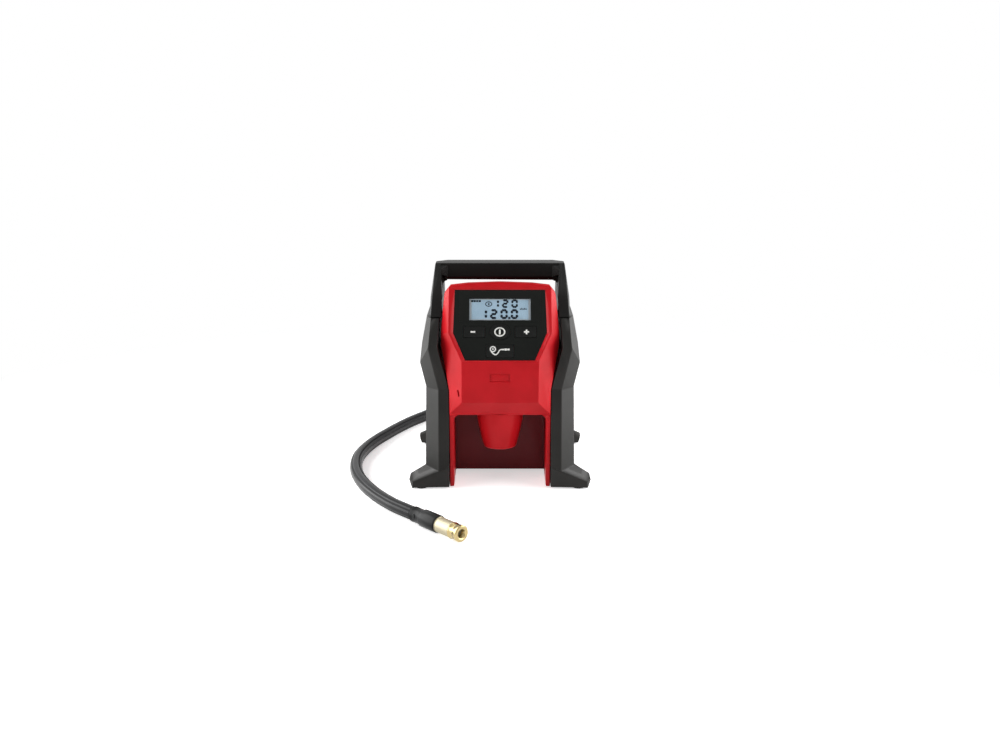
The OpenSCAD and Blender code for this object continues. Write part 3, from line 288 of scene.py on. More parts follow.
def moulded(name, node, width):
    """A copy of a solid with every sharp edge rounded."""
    return round_edges(clean_copy(name, node), width, angle=FACET_ANGLE)


def moulded_large(name, node, width, shortest, angle=FACET_ANGLE, where=lambda middle: True):
    """A copy of a solid with its long edges rounded, all of them or those that lie where the test says."""
    piece = clean_copy(name, node)
    with editing(piece) as mesh:
        pick(mesh, lambda middle, edge: edge.is_manifold and edge.calc_length() > shortest * MM
             and edge.calc_face_angle() > math.radians(angle) and where(middle / MM), "EDGE")
        bpy.ops.mesh.bevel(offset=width * MM, segments=3, affect="EDGES", clamp_overlap=False)
    # where edges meet at a sharp angle, a rounded corner can shoot past the solid, so it is put back on it
    for point in piece.data.vertices:
        _, spot, normal, _ = frame["nodes"][node].closest_point_on_mesh(point.co)
        past = point.co - spot
        if past.dot(normal) > 0 and past.length > width * STRAY_SHARE * MM:
            point.co = spot
    apply_modifier(smooth(piece), "WEIGHTED_NORMAL", weight=100, keep_sharp=True)
    return piece


# %% [markdown]
# A finish is a small network of nodes. Written as sums, it reads like a recipe: this class wraps one
# socket, and an expression such as `mask * 0.3 + 0.2` adds the Math nodes that work it out.

# %% Shader sums
class Amount:
    def __init__(self, finish, socket):
        self.finish = finish
        self.socket = socket

    def sum(self, operation, *others):
        return self.finish.add("ShaderNodeMath", {"operation": operation}, [self, *others])[0]

    def __add__(self, other):
        return self.sum("ADD", other)

    def __mul__(self, other):
        return self.sum("MULTIPLY", other)


class Finish:
    """One material. Its methods add the few kinds of node that the finishes below are made of."""

    def __init__(self, name):
        self.material = bpy.data.materials.new(name)
        self.material.use_nodes = True
        self.tree = self.material.node_tree
        self.shader = self.tree.nodes["Principled BSDF"]
        self.place = self.add("ShaderNodeTexCoord")["Object"]

    def add(self, kind, settings=(), values=()):
        node = self.tree.nodes.new(kind)
        for key, value in dict(settings).items():
            setattr(node, key, value)
        pairs = values.items() if isinstance(values, dict) else enumerate(values)
        for key, value in pairs:
            self.feed(node.inputs[key], value)
        outputs = {**dict(enumerate(node.outputs)), **{o.name: o for o in node.outputs if o.enabled}}
        return {key: Amount(self, socket) for key, socket in outputs.items()}

    def feed(self, socket, value):
        if isinstance(value, Amount):
            self.tree.links.new(value.socket, socket)
        else:
            socket.default_value = value

    def axes(self):
        parts = self.add("ShaderNodeSeparateXYZ", {}, [self.place])
        return parts["X"], parts["Y"], parts["Z"]

    def noise(self, scale, detail=3, roughness=0.5, where=None):
        values = {"Vector": where or self.place, "Scale": scale, "Detail": detail, "Roughness": roughness}
        return self.add("ShaderNodeTexNoise", {}, values)["Fac"]

    def stretched(self, where, scale):
        return self.add("ShaderNodeMapping", {}, {"Vector": where, "Scale": scale})[0]

    def grain(self, scale):
        return self.add("ShaderNodeTexVoronoi", {}, {"Vector": self.place, "Scale": scale})["Distance"]

    def between(self, mask, low, high):
        """0 where the mask is at low, 1 at high, and smooth between them."""
        return self.add("ShaderNodeMapRange", {"interpolation_type": "SMOOTHSTEP"},
                        {"Value": mask, "From Min": low, "From Max": high})[0]

    def mix(self, mask, one, two):
        one, two = (colour if isinstance(colour, Amount) else (*colour, 1) for colour in (one, two))
        return self.add("ShaderNodeMix", {"data_type": "RGBA"}, {0: mask, 6: one, 7: two})[2]

    def bump(self, height, distance, strength=1.0):
        values = {"Height": height, "Distance": distance, "Strength": strength}
        return self.add("ShaderNodeBump", {}, values)[0]

    def set(self, **values):
        for key, value in values.items():
            self.feed(self.shader.inputs[key.replace("_", " ").title().replace("Ior", "IOR")], value)
        return self.material


# %% [markdown]
# Colours are easiest to judge as they look on a screen, from 0 to 255, but a shader adds up light, so each
# value is turned from the screen's curve into an amount of light.

# %% Paint
def paint(*screen):
    return tuple((v / 255 / 12.92 if v < 10.3 else ((v / 255 + 0.055) / 1.055) ** 2.4) for v in screen)


# %% [markdown]
# The housing is moulded from red glass-filled nylon. Its mould was lightly blasted, so the plastic has a
# fine even grain that spreads the reflection of a lamp, and the glass fibres leave very faint clouds in the
# colour. The frames are black nylon from a coarser mould.

# %% Moulded plastics
# painted shade: the darker red of the shaded back of the battery bay
BAY_SHADE_RED = paint(100, 16, 23)
BAY_FRONT, BAY_REAR = (-0.037, -0.032), (-0.018, -0.024)
BAY_CEILING, BAY_CHEEK = (0.0712, 0.0702), (0.0443, 0.0438)


def red_nylon():
    finish = Finish("red_nylon")
    x, y, z = finish.axes()
    cloud = finish.between(finish.noise(45, 4), 0.35, 0.65)
    grain = finish.grain(2400)
    rub = finish.noise(160, 5, 0.6)
    # painted shade: the back of the battery bay, below its ceiling and between its cheeks, is coloured darker
    # for the shade that lies deep in the bay
    depth = finish.between(y, *BAY_FRONT) * finish.between(y, *BAY_REAR)
    bay = depth * finish.between(z, *BAY_CEILING) * finish.between(x.sum("ABSOLUTE"), *BAY_CHEEK)
    shell = finish.mix(cloud, paint(184, 20, 28), paint(193, 23, 32))
    return finish.set(base_color=finish.mix(bay, shell, BAY_SHADE_RED), roughness=rub * 0.12 + 0.3,
                      specular_ior_level=0.14, normal=finish.bump(grain, 0.00004, 0.3))


def black_nylon(name, dark, light, gloss, grain_size, shine=0.25):
    finish = Finish(name)
    cloud = finish.between(finish.noise(30, 4), 0.35, 0.65)
    grain = finish.grain(grain_size)
    speck = finish.noise(900, 2)
    return finish.set(base_color=finish.mix(cloud, dark, light), roughness=speck * 0.12 + gloss,
                      specular_ior_level=shine, normal=finish.bump(grain + speck * 0.5, 0.00005, 0.3))


red = red_nylon()
frame_black = black_nylon("black_nylon", paint(27, 26, 24), paint(33, 32, 30), 0.27, 1700, 0.2)
grip_black = black_nylon("grip_nylon", paint(20, 20, 19), paint(25, 25, 24), 0.3, 1300, 0.08)
inner_black = black_nylon("inner_nylon", paint(34, 34, 34), paint(40, 40, 40), 0.4, 1500)
print("plastics:", red.name, frame_black.name, grip_black.name, inner_black.name)

# %% [markdown]
# Rubber is duller than nylon and picks up a little dust. The hose has long soft streaks and five shallow
# grooves from the die that it was drawn through, so its finish reads the map that the hose carries, with
# one axis along the hose and the other round it. The grooves wind slowly round it, and the hose below is
# shaped by the same three numbers.

# %% Rubbers
def rubber(name, dark, light, gloss, shine):
    finish = Finish(name)
    dust = finish.between(finish.noise(220, 5, 0.65), 0.45, 0.8)
    return finish.set(base_color=finish.mix(dust, dark, light), roughness=dust * 0.2 + gloss,
                      specular_ior_level=shine, normal=finish.bump(finish.noise(1500, 2), 0.00005, 0.3))


GROOVES, GROOVE_TWIST, GROOVE_DEPTH = 5, 5, 0.06


def hose_rubber():
    finish = Finish("hose_rubber")
    where = finish.add("ShaderNodeUVMap", {"uv_map": "along"})["UV"]
    parts = finish.add("ShaderNodeSeparateXYZ", {}, [where])
    turn = parts["Y"] * (math.tau * GROOVES) + parts["X"] * GROOVE_TWIST
    groove = finish.between(turn.sum("COSINE"), 0.55, 0.95)
    streak = finish.noise(1, 4, where=finish.stretched(where, (5, 9, 1)))
    cover = finish.noise(1, 2, where=finish.stretched(where, (900, 60, 1)))
    drawn = finish.mix(finish.between(streak, 0.4, 0.65), paint(14, 15, 16), paint(38, 39, 41))
    # painted shade: the grooves are coloured near black, for the shade that lies in them
    return finish.set(base_color=finish.mix(groove, drawn, paint(9, 9, 10)),
                      roughness=streak * 0.22 + groove * 0.4 + 0.14, specular_ior_level=0.14,
                      normal=finish.bump(streak * 0.8 + cover * 0.2, 0.0004, 0.6))


key_rubber = rubber("key_rubber", paint(22, 23, 22), paint(27, 28, 27), 0.34, 0.1)
soft_rubber = rubber("soft_rubber", paint(20, 21, 21), paint(31, 32, 32), 0.34, 0.12)
drawn_rubber = hose_rubber()
print("rubbers:", key_rubber.name, soft_rubber.name, drawn_rubber.name)

# %% [markdown]
# The chuck is turned brass. The tool leaves fine rings round its axis, so the pattern has to be measured
# along that axis, which is level and points to the right and forward, 47.5 degrees in front of the x axis.
# A Mapping node turns the chuck's axis back onto x.

# %% Metals
CHUCK_TURN = -47.5


def turned_brass(name, colour, gloss, depth):
    finish = Finish(name)
    turned_back = {"Vector": finish.place, "Rotation": (0, 0, -math.radians(CHUCK_TURN))}
    where = finish.add("ShaderNodeMapping", {}, turned_back)[0]
    along = finish.add("ShaderNodeSeparateXYZ", {}, [where])["X"]
    values = {"W": along, "Scale": 5200, "Detail": 2}
    rings = finish.add("ShaderNodeTexNoise", {"noise_dimensions": "1D"}, values)["Fac"]
    cloud = finish.noise(260, 3)
    darker = tuple(c * 0.86 for c in colour)
    return finish.set(base_color=finish.mix(cloud, darker, colour), metallic=1.0,
                      roughness=rings * 0.1 + gloss, normal=finish.bump(rings, depth, 0.5))


def metal(name, colour, gloss, grain_size=900):
    finish = Finish(name)
    cloud = finish.noise(grain_size, 3)
    darker = tuple(c * 0.8 for c in colour)
    return finish.set(base_color=finish.mix(cloud, darker, colour), metallic=1.0,
                      roughness=cloud * 0.15 + gloss, normal=finish.bump(cloud, 0.00003, 0.4))


satin_brass = turned_brass("satin_brass", paint(176, 168, 144), 0.48, 0.00002)
bright_brass = turned_brass("bright_brass", paint(184, 166, 120), 0.2, 0.00001)
steel = metal("steel", paint(190, 190, 192), 0.28)
cast_alloy = metal("cast_alloy", paint(178, 180, 184), 0.42, 1400)
magnet = metal("magnet", paint(70, 70, 72), 0.5)
contact_brass = metal("contact_brass", paint(226, 190, 120), 0.25)
metals = (satin_brass, bright_brass, steel, cast_alloy, magnet, contact_brass)
print("metals:", *(finish.name for finish in metals))

# %% [markdown]
# The window over the display is a clear sheet, the display behind it is a pale blue-grey film with a soft
# light of its own, and the figures are near black. The marks on the keys are printed in white ink, which
# is never quite even.

# %% Display finishes
def clear_window():
    finish = Finish("clear_window")
    smear = finish.noise(60, 4)
    return finish.set(base_color=(*paint(120, 132, 140), 1), roughness=smear * 0.05 + 0.03,
                      alpha=smear * 0.02 + 0.03)


def lit_film():
    finish = Finish("lit_film")
    cloud = finish.between(finish.noise(70, 2), 0.3, 0.7)
    colour = finish.mix(cloud, paint(142, 168, 186), paint(152, 177, 195))
    return finish.set(base_color=colour, roughness=cloud * 0.1 + 0.35, emission_color=colour,
                      emission_strength=0.2)


def ink(name, dark, light):
    finish = Finish(name)
    patchy = finish.noise(2200, 3)
    return finish.set(base_color=finish.mix(patchy, dark, light), roughness=patchy * 0.1 + 0.4,
                      specular_ior_level=0.1)


def fascia_black():
    finish = Finish("fascia_black")
    smear = finish.noise(90, 4)
    return finish.set(base_color=finish.mix(smear, paint(17, 19, 17), paint(21, 23, 21)),
                      roughness=smear * 0.1 + 0.26, specular_ior_level=0.1,
                      normal=finish.bump(finish.noise(1800, 2), 0.00002, 0.3))


window = clear_window()
film = lit_film()
figure_ink = ink("figure_ink", paint(4, 13, 24), paint(9, 19, 32))
edge_ink = ink("edge_ink", paint(176, 184, 190), paint(184, 192, 197))
white_ink = ink("white_ink", paint(222, 222, 218), paint(240, 240, 236))
fascia = fascia_black()
print("display:", window.name, film.name, figure_ink.name, edge_ink.name, white_ink.name, fascia.name)

# %% [markdown]
# The parts inside are seen only through the louvres, the grille and the battery socket, but they are
# finished all the same: a green board with copper tracks under its mask, a wound rotor, a milky air tube.

# %% Inner finishes
def circuit_green():
    finish = Finish("circuit_green")
    values = {"Vector": finish.place, "Scale": 180, "Mortar Size": 0.08}
    tracks = finish.add("ShaderNodeTexBrick", {}, values)["Fac"]
    return finish.set(base_color=finish.mix(tracks, paint(18, 70, 42), paint(46, 120, 74)),
                      roughness=tracks * 0.2 + 0.3)


def wound_copper():
    finish = Finish("wound_copper")
    values = {"Vector": finish.place, "Scale": 900, "Distortion": 1.5}
    turns = finish.add("ShaderNodeTexWave", {}, values)["Fac"]
    return finish.set(base_color=finish.mix(turns, paint(96, 52, 28), paint(196, 120, 70)), metallic=0.8,
                      roughness=turns * 0.2 + 0.3, normal=finish.bump(turns, 0.0001, 0.6))


def milky_tube():
    finish = Finish("milky_tube")
    cloud = finish.noise(300, 3)
    return finish.set(base_color=finish.mix(cloud, paint(205, 205, 200), paint(222, 222, 216)),
                      roughness=cloud * 0.1 + 0.3)


board_green, copper, milky = circuit_green(), wound_copper(), milky_tube()
SOLID_FINISHES = [
    (inner_black, ["terminal_block", "motor_end_bell", "cooling_fan", "pressure_sensor"]),
    (contact_brass, ["battery_terminals"]),
    (film, ["lcd_module"]),
    (key_rubber, ["keypad_mat"]),
    (soft_rubber, ["chuck_seal", "piston_seal"]),
    (board_green, ["display_board", "control_board"]),
    (magnet, ["motor_magnets"]),
    (copper, ["rotor"]),
    (milky, ["air_tube"]),
    (cast_alloy, ["gear_bracket", "piston_rod", "piston", "cylinder", "cylinder_head"]),
    (steel, ["tactile_switches", "motor_can", "pinion", "crank_bearing", "crank_gear", "crank_shaft",
             "wrist_pin", "valve_plate", "reed_valve", "motor_screws", "cylinder_screws", "housing_screws",
             "frame_screws", "handle_screws"]),
]
for finish, nodes in SOLID_FINISHES:
    for node in nodes:
        materials = frame["nodes"][node].data.materials
        materials.clear()
        materials.append(finish)
print("solids finished in place:", sum(len(nodes) for finish, nodes in SOLID_FINISHES))

# %% [markdown]
# The hose is the one piece that bends. It leaves the back of the housing through a strain relief, turns round
# behind the body down to the floor, passes the left side and ends in front. It is about 0.56 m long, so
# that with its chuck it reaches a wheel's valve. The route's points are joined by smooth curves, and rings
# of points round that line make the tube, with a map that runs along and round it.

# %% Hose
HOSE_D = 12.5
OUTLET = (33, 60, 50)
CHUCK_FROM = (-75, -169, 7.9)
HOSE_ROUTE = [
    (33, 100, 50), (33, 116, 49), (32, 134, 43), (28, 154, 31), (18, 172, 19), (2, 185, 10),
    (-17, 191.1, 6.7), (-37, 191.1, 6.28), (-57, 185, 6.25), (-73, 171, 6.25), (-86, 150, 6.25),
    (-100, 127, 6.25), (-112, 103, 6.25), (-123, 77, 6.25), (-133, 51, 6.25), (-140, 25, 6.25),
    (-143.8, -2, 6.25), (-143, -30, 6.25), (-138, -58, 6.25), (-128, -87, 6.25), (-114, -115, 6.25),
    (-98, -141, 7), (-85, -158, 7.7), CHUCK_FROM,
]
STEPS_BETWEEN = 6
ROUND_HOSE = 60


def smooth_line(points, steps):
    """A curve through every point, whose direction at a point follows from that point's two neighbours."""
    line = []
    last = len(points) - 1
    for i in range(last):
        before, a, b, after = points[max(i - 1, 0)], points[i], points[i + 1], points[min(i + 2, last)]
        for k in range(steps):
            t = k / steps
            line.append(0.5 * (2 * a + (b - before) * t + (2 * before - 5 * a + 4 * b - after) * t ** 2
                               + (3 * a - before - 3 * b + after) * t ** 3))
    return line + [points[-1]]


def hose_tube(name, line, radius):
    mesh = bpy.data.meshes.new(name)
    drawing = bmesh.new()
    along = drawing.loops.layers.uv.new("along")
    reached, rings = [0.0], []
    for i, middle in enumerate(line):
        way = (line[min(i + 1, len(line) - 1)] - line[max(i - 1, 0)]).normalized()
        across = way.cross(Vector((0, 0, 1))).normalized()
        over = across.cross(way)
        if i:
            reached.append(reached[-1] + (middle - line[i - 1]).length)
        ring = []
        for a in (math.tau * k / ROUND_HOSE for k in range(ROUND_HOSE)):
            groove = max(math.cos(GROOVES * a + GROOVE_TWIST * reached[-1]), 0) ** 4
            r = radius * (1 - GROOVE_DEPTH * groove)
            ring.append(drawing.verts.new(middle + r * (math.cos(a) * across + math.sin(a) * over)))
        rings.append(ring)
    for i in range(len(line) - 1):
        for k in range(ROUND_HOSE):
            n = (k + 1) % ROUND_HOSE
            face = drawing.faces.new((rings[i][k], rings[i + 1][k], rings[i + 1][n], rings[i][n]))
            face.smooth = True
            corners = ((i, k), (i + 1, k), (i + 1, k + 1), (i, k + 1))
            for loop, (j, turn) in zip(face.loops, corners):
                loop[along].uv = (reached[j], turn / ROUND_HOSE)
    drawing.faces.new(rings[0])
    drawing.faces.new(list(reversed(rings[-1])))
    bmesh.ops.recalc_face_normals(drawing, faces=drawing.faces)
    drawing.to_mesh(mesh)
    return new_piece(name, mesh), reached[-1]


hose_line = smooth_line([at(*point) for point in HOSE_ROUTE], STEPS_BETWEEN)
hose, hose_length = hose_tube("rubber_hose", hose_line, HOSE_D / 2 * MM)
dress(hose, drawn_rubber, replaces=["hose"])
print(f"hose: {hose_length:.3f} m long, {HOSE_D} mm thick")

# %% [markdown]
# The chuck's three pieces are turned about one axis, so each is a spun section that is laid down along that
# axis. The crimped sleeve starts with a narrow ring and steps up to a wider collar with softened edges. A
# small round vent stands on the narrow part. The brass body is a plain tube with a groove next to the
# sleeve, and the collar that turns on it has six flats, a bevelled mouth and a thread that grips the valve.

# %% Sleeve and chuck
CHUCK_WAY = Matrix.Translation(at(*CHUCK_FROM)) @ rotation(CHUCK_TURN, "Z") @ rotation(90, "Y")
SLEEVE_L, NARROW_L = 34.5, 13.5
VENT_AT, VENT_TURN = 7, -11.5
CHUCK_L = 18
NECK_L = 6
NECK_END = CHUCK_L + NECK_L
COLLAR_L = 11.5
COLLAR_GAP = 0.15
FLATS, FLAT_R = 6, 6.7
FLAT_FROM, FLAT_TO = 1.4, 7.4
THREAD_TURNS, THREAD_PITCH = 5, 0.9


def along_chuck(piece, start):
    return place(piece, CHUCK_WAY @ shift(0, 0, start))


sleeve = turned("crimped_sleeve", [
    (0, 0), (6.4, 0), (6.9, 0.5), (7.0, 1.6), (6.75, 2.2), (6.75, NARROW_L - 1.2), (7.0, NARROW_L - 0.6),
    (7.5, NARROW_L), (7.8, NARROW_L + 0.6), (7.8, SLEEVE_L - 1.4), (7.6, SLEEVE_L - 0.5), (7.2, SLEEVE_L),
    (0, SLEEVE_L)])
vent = turned("sleeve_vent", [(0, 7.2), (1.6, 7.2), (2.0, 6.9), (2.2, 6.4), (2.2, 5.6), (0, 5.6)], 32)
place(vent, shift(0, 0, VENT_AT) @ rotation(VENT_TURN, "Z") @ rotation(90, "X"))
sleeve = along_chuck(join("crimped_sleeve", [sleeve, vent]), 0)
dress(sleeve, soft_rubber, replaces=["hose_sleeve"])

chuck_body = turned("chuck_tube", [
    (2, 4), (2, NECK_END), (4.6, NECK_END), (5.5, NECK_END - 0.8), (5.5, CHUCK_L), (6.6, CHUCK_L),
    (6.9, CHUCK_L - 0.4), (6.9, 1.8), (6.5, 1.5), (6.5, 0.7), (6.9, 0.5), (6.9, 0.3), (6.6, 0.02), (0, 0.02),
    (0, 4), (2, 4)], 96)
along_chuck(chuck_body, SLEEVE_L)
dress(chuck_body, satin_brass, replaces=["chuck_body"])


def collar_section():
    outside = [(5.6, 0.0), (7.0, 0.0), (7.3, 0.3), (7.3, 1.2), (7.1, 1.5), (7.1, 7.3), (7.3, 7.6),
               (7.3, COLLAR_L - 1.0), (6.5, COLLAR_L - 0.1), (5.0, COLLAR_L)]
    thread = []
    for turn in range(THREAD_TURNS):
        z = COLLAR_L - 0.6 - THREAD_PITCH * turn
        thread += [(4.0, z), (4.3, z - THREAD_PITCH / 2)]
    return outside + thread + [(4.0, NECK_L + 0.1), (5.6, NECK_L + 0.1), (5.6, 0.0)]


collar = turned("chuck_collar_ring", collar_section(), 96)
with editing(collar) as mesh:
    for turn in range(FLATS):
        angle = math.tau * (turn + 0.5) / FLATS
        flat = Vector((math.cos(angle), math.sin(angle), 0))
        for point in mesh.verts:
            reach = point.co.dot(flat) - FLAT_R * MM
            if reach > 0 and FLAT_FROM < point.co.z / MM < FLAT_TO:
                point.co -= flat * reach
    bpy.ops.mesh.select_all(action="SELECT")
    bpy.ops.mesh.normals_make_consistent(inside=False)
along_chuck(collar, SLEEVE_L + CHUCK_L + COLLAR_GAP)
dress(collar, bright_brass, "collar", ["chuck_collar"])

# %% [markdown]
# The strain relief is a tapered rubber boot with ribs, so that the hose can't kink where it leaves the
# housing. Its section is written with a loop for the ribs, spun, and then laid along the y axis.

# %% Strain relief
FLANGE_H = 6
RELIEF_L = 34
RIBS, RIB_PITCH = 5, 6


def relief_section():
    section = [(0, -8), (7.9, -8), (7.9, 0), (10.7, 0), (11, 0.4), (11, FLANGE_H - 0.4), (10.6, FLANGE_H),
               (9.6, FLANGE_H)]
    for rib in range(RIBS):
        z, r = 10 + RIB_PITCH * rib, 10.0 - 0.55 * rib
        section += [(r - 1.0, z - 0.2), (r, z + 0.3), (r, z + 1.9), (r - 1.0, z + 2.4)]
    end = FLANGE_H + RELIEF_L
    return section + [(7.4, end - 0.6), (6.9, end), (0, end)]


relief = turned("strain_relief", relief_section(), 72)
place(relief, Matrix.Translation(at(*OUTLET)) @ rotation(-90, "X"))
dress(relief, soft_rubber, replaces=["hose_outlet"])

# %% [markdown]
# The red housing is moulded in a front and a rear half. Both keep the exact form of their solids, with
# long edges rounded by 0.7 mm, which is what catches the light along a moulded shell. In the front half
# the edges round the sunken display panel stay sharp.

# %% Red housing
SHELL_ROUND = 0.7
PANEL_FROM_Z, PANEL_HALF = 124, 50


def beside_panel(middle):
    return middle.y < 0 and (middle.z < PANEL_FROM_Z or abs(middle.x) > PANEL_HALF)


front_shell = moulded_large("front_shell", "front_housing", SHELL_ROUND, 9, where=beside_panel)
dress(front_shell, red, replaces=["front_housing"])
rear_shell = moulded_large("rear_shell", "rear_housing", SHELL_ROUND, 50)
dress(rear_shell, red, replaces=["rear_housing"])
print("housing:", len(front_shell.data.polygons), "and", len(rear_shell.data.polygons), "faces")

# %% [markdown]
# The side frames and the handle are thick black mouldings with broad facets. Their edges are rounder than
# the housing's.

# %% Frames and handle
FRAME_ROUND, FRAME_SHORTEST, FRAME_ANGLE = 0.8, 9, 10
for name, node, material, slot in (("left_side_frame", "left_frame", frame_black, "black_frame"),
                                   ("right_side_frame", "right_frame", frame_black, "black_frame"),
                                   ("carry_handle", "handle", grip_black, "black_grip")):
    shell = moulded_large(name, node, FRAME_ROUND, FRAME_SHORTEST, FRAME_ANGLE)
    dress(shell, material, replaces=[node])
grille = moulded("air_grille", "rear_grille", 0.35)
dress(grille, frame_black, replaces=["rear_grille"])
pads = moulded("rubber_feet", "foot_pads", 0.3)
dress(pads, soft_rubber, replaces=["foot_pads"])

# %% [markdown]
# The battery socket hangs from the ceiling of the bay. It is a tapered cup with slightly swelling sides
# and a rounded lip, and its back is cut flat beside the wall of the bay.

# %% Battery socket
SOCKET_TOP, SOCKET_LOW, SOCKET_SWELL = 22.9, 16.0, 0.8
SOCKET_TOP_Z, SOCKET_LOW_Z = 70.5, 34.0
SOCKET_WALL = 2.8
SOCKET_LIP = [(0.25, 0.7), (0.8, 0.15), (1.5, 0), (2.3, 0.1), (2.75, 0.6)]
LIP_H = 1.6
SOCKET_Y, BAY_WALL_Y = -50, -33.3
BACK_STEP = 0.01


def socket_side(inwards, steps=12):
    """Radius and height up the side of the cup, moved inwards from its outer face."""
    points = []
    for i in range(steps + 1):
        t = i / steps
        radius = SOCKET_LOW + (SOCKET_TOP - SOCKET_LOW) * t + 4 * SOCKET_SWELL * t * (1 - t)
        points.append((radius - inwards, SOCKET_LOW_Z + LIP_H + (SOCKET_TOP_Z - SOCKET_LOW_Z - LIP_H) * t))
    return points


lip = [(SOCKET_LOW - inwards, SOCKET_LOW_Z + up) for inwards, up in SOCKET_LIP]
cup_section = socket_side(0)[::-1] + lip + socket_side(SOCKET_WALL) + [(SOCKET_TOP, SOCKET_TOP_Z)]
socket = turned("battery_socket", cup_section, 128)
# the cut back steps a little towards the wall where the cup is narrower, so that no two faces coincide
for point in socket.data.vertices:
    radius = point.co.xy.length / MM
    step = 0 if radius > SOCKET_TOP - 1 else BACK_STEP * (SOCKET_TOP - radius)
    point.co.y = min(point.co.y, (BAY_WALL_Y - SOCKET_Y + step) * MM)
place(socket, Matrix.Translation(at(0, SOCKET_Y, 0)))
dress(socket, red, replaces=["battery_receptacle"])

# %% [markdown]
# The name plate's place on the chin stays bare: a shallow recess with a thin raised border and a smooth
# plate inside it.

# %% Plain plate on the chin
BADGE_W, BADGE_H, BADGE_Z = 18.4, 7.4, 109.4
BADGE_FRONT, BADGE_BACK = 0.6, 1.38
BORDER_STEP = 0.3
badge = block("plain_plate", (-BADGE_W / 2, CHIN_Y + BADGE_FRONT, BADGE_Z - BADGE_H / 2),
              (BADGE_W / 2, CHIN_Y + BADGE_BACK, BADGE_Z + BADGE_H / 2))
with editing(badge) as mesh:
    pick(mesh, lambda middle, normal: normal.y < -0.9)
    for inset, inwards in ((0.6, BORDER_STEP), (0.4, -BORDER_STEP)):
        bpy.ops.mesh.inset(thickness=inset * MM)
        bpy.ops.transform.translate(value=(0, inwards * MM, 0))
place(badge, shift(0, SHIFT, 0))
dress(round_edges(badge, 0.15), red, replaces=["badge_plate"])

# %% [markdown]
# The display lies on the sloping face. Everything on it is first modelled flat, in millimetres across, up
# the slope and out of it, and then the slope's matrix tilts it into place. Heights are measured from the
# red rim: the black fascia lies 1.5 mm below it.

# %% Fascia
FASCIA_H = -1.5


def on_slope(piece):
    return place(piece, SLOPE)


def rectangle(x0, y0, x1, y1):
    return [(x0, y0), (x1, y0), (x1, y1), (x0, y1)]


fascia_plate = moulded("fascia_plate", "display_panel", 0.25)
dress(fascia_plate, fascia, replaces=["display_panel"])

# %% [markdown]
# A second sheet, in the same finish as the fascia, lies over the upper part of the fascia and frames the
# window. Its lower edge is the fine line that shows under the display. The clear window and the lit film lie
# behind it.

# %% Window
LCD_HALF, LCD_LOW, LCD_H = 28.8, 40.5, 21.2
GLASS_BACK, GLASS_FRONT = -2.6, -1.6
FILM_BACK, FILM_H = -3.69, -2.86
SHEET_HALF, SHEET_LOW, SHEET_HIGH = 38.2, 38.9, 68.6
SHEET_RISE = 0.22
EDGE_PRINT = 0.03


def lcd_outline(sides, low, top):
    """The display's outline, moved inwards at the sides, below and above."""
    return rectangle(-LCD_HALF + sides, LCD_LOW + low, LCD_HALF - sides, LCD_LOW + LCD_H - top)


sheet = framed_plate("window_sheet", rectangle(-SHEET_HALF, SHEET_LOW, SHEET_HALF, SHEET_HIGH),
                     lcd_outline(0, 0, 0), FASCIA_H - 0.02, FASCIA_H + SHEET_RISE)
on_slope(round_edges(sheet, 0.12, 2))
dress(sheet, fascia)
glass = plate("clear_window", lcd_outline(0.05, 0.05, 0.05), GLASS_BACK, GLASS_FRONT)
on_slope(round_edges(glass, 0.1, 2))
dress(glass, window, replaces=["display_lens"])
film_sheet = plate("film_sheet", lcd_outline(0.1, 0.1, 0.1), FILM_BACK, FILM_H)
dress(on_slope(film_sheet), film)
film_edge = framed_plate("film_edge", lcd_outline(0.12, 0.12, 0.12), lcd_outline(2.2, 1.3, 1.1),
                         FILM_H, FILM_H + EDGE_PRINT)
dress(on_slope(film_edge), edge_ink)

# %% [markdown]
# A seven-segment figure is seven bars with pointed ends. A bar is made for each lit segment and moved to
# the segment's place and angle. The upper row is the pressure that is set, the lower row the pressure that is
# measured, to a tenth.

# %% Figures
FIGURE_PRINT, SIGN_PRINT = 0.06, 0.05
SEGMENTS = {  # middle of each bar, in shares of the figure's width and height, and its turn in degrees
    "a": (0.5, 1, 0), "b": (1, 0.75, 90), "c": (1, 0.25, 90), "d": (0.5, 0, 0), "e": (0, 0.25, 90),
    "f": (0, 0.75, 90), "g": (0.5, 0.5, 0),
}
LIT = {"0": "abcdef", "1": "bc", "2": "abged"}
MIDDLE_GAP, END_GAP = 0.35, 0.1
BAR_POINT = 0.55


def bar(name, length, width):
    half, w = length / 2, width / 2
    c = w * BAR_POINT
    outline = [(-half, 0), (-half + c, -w), (half - c, -w), (half, 0), (half - c, w), (-half + c, w)]
    return plate(name, outline, 0, FIGURE_PRINT)


def figures(name, text, right, low, width, height, stroke, pitch):
    """A row of figures that ends at the right. A dot takes the gap before the figure that follows it."""
    made, place_x = [], right - width
    for letter in reversed(text):
        if letter == ".":
            dot = plate("dot", rectangle(-stroke / 2, 0, stroke / 2, stroke), 0, FIGURE_PRINT)
            made.append(place(dot, shift(place_x + pitch - (pitch - width) / 2, low - stroke / 2, FILM_H)))
            continue
        for segment in LIT[letter]:
            x, y, turn = SEGMENTS[segment]
            length = (height / 2 - MIDDLE_GAP if turn else width) - END_GAP
            outwards = (y - 0.5) * MIDDLE_GAP * 2 if turn else 0
            spot = shift(place_x + x * width, low + y * height + outwards, FILM_H)
            made.append(place(bar("bar", length, stroke), spot @ rotation(turn, "Z")))
        place_x -= pitch
    return join(name, made)


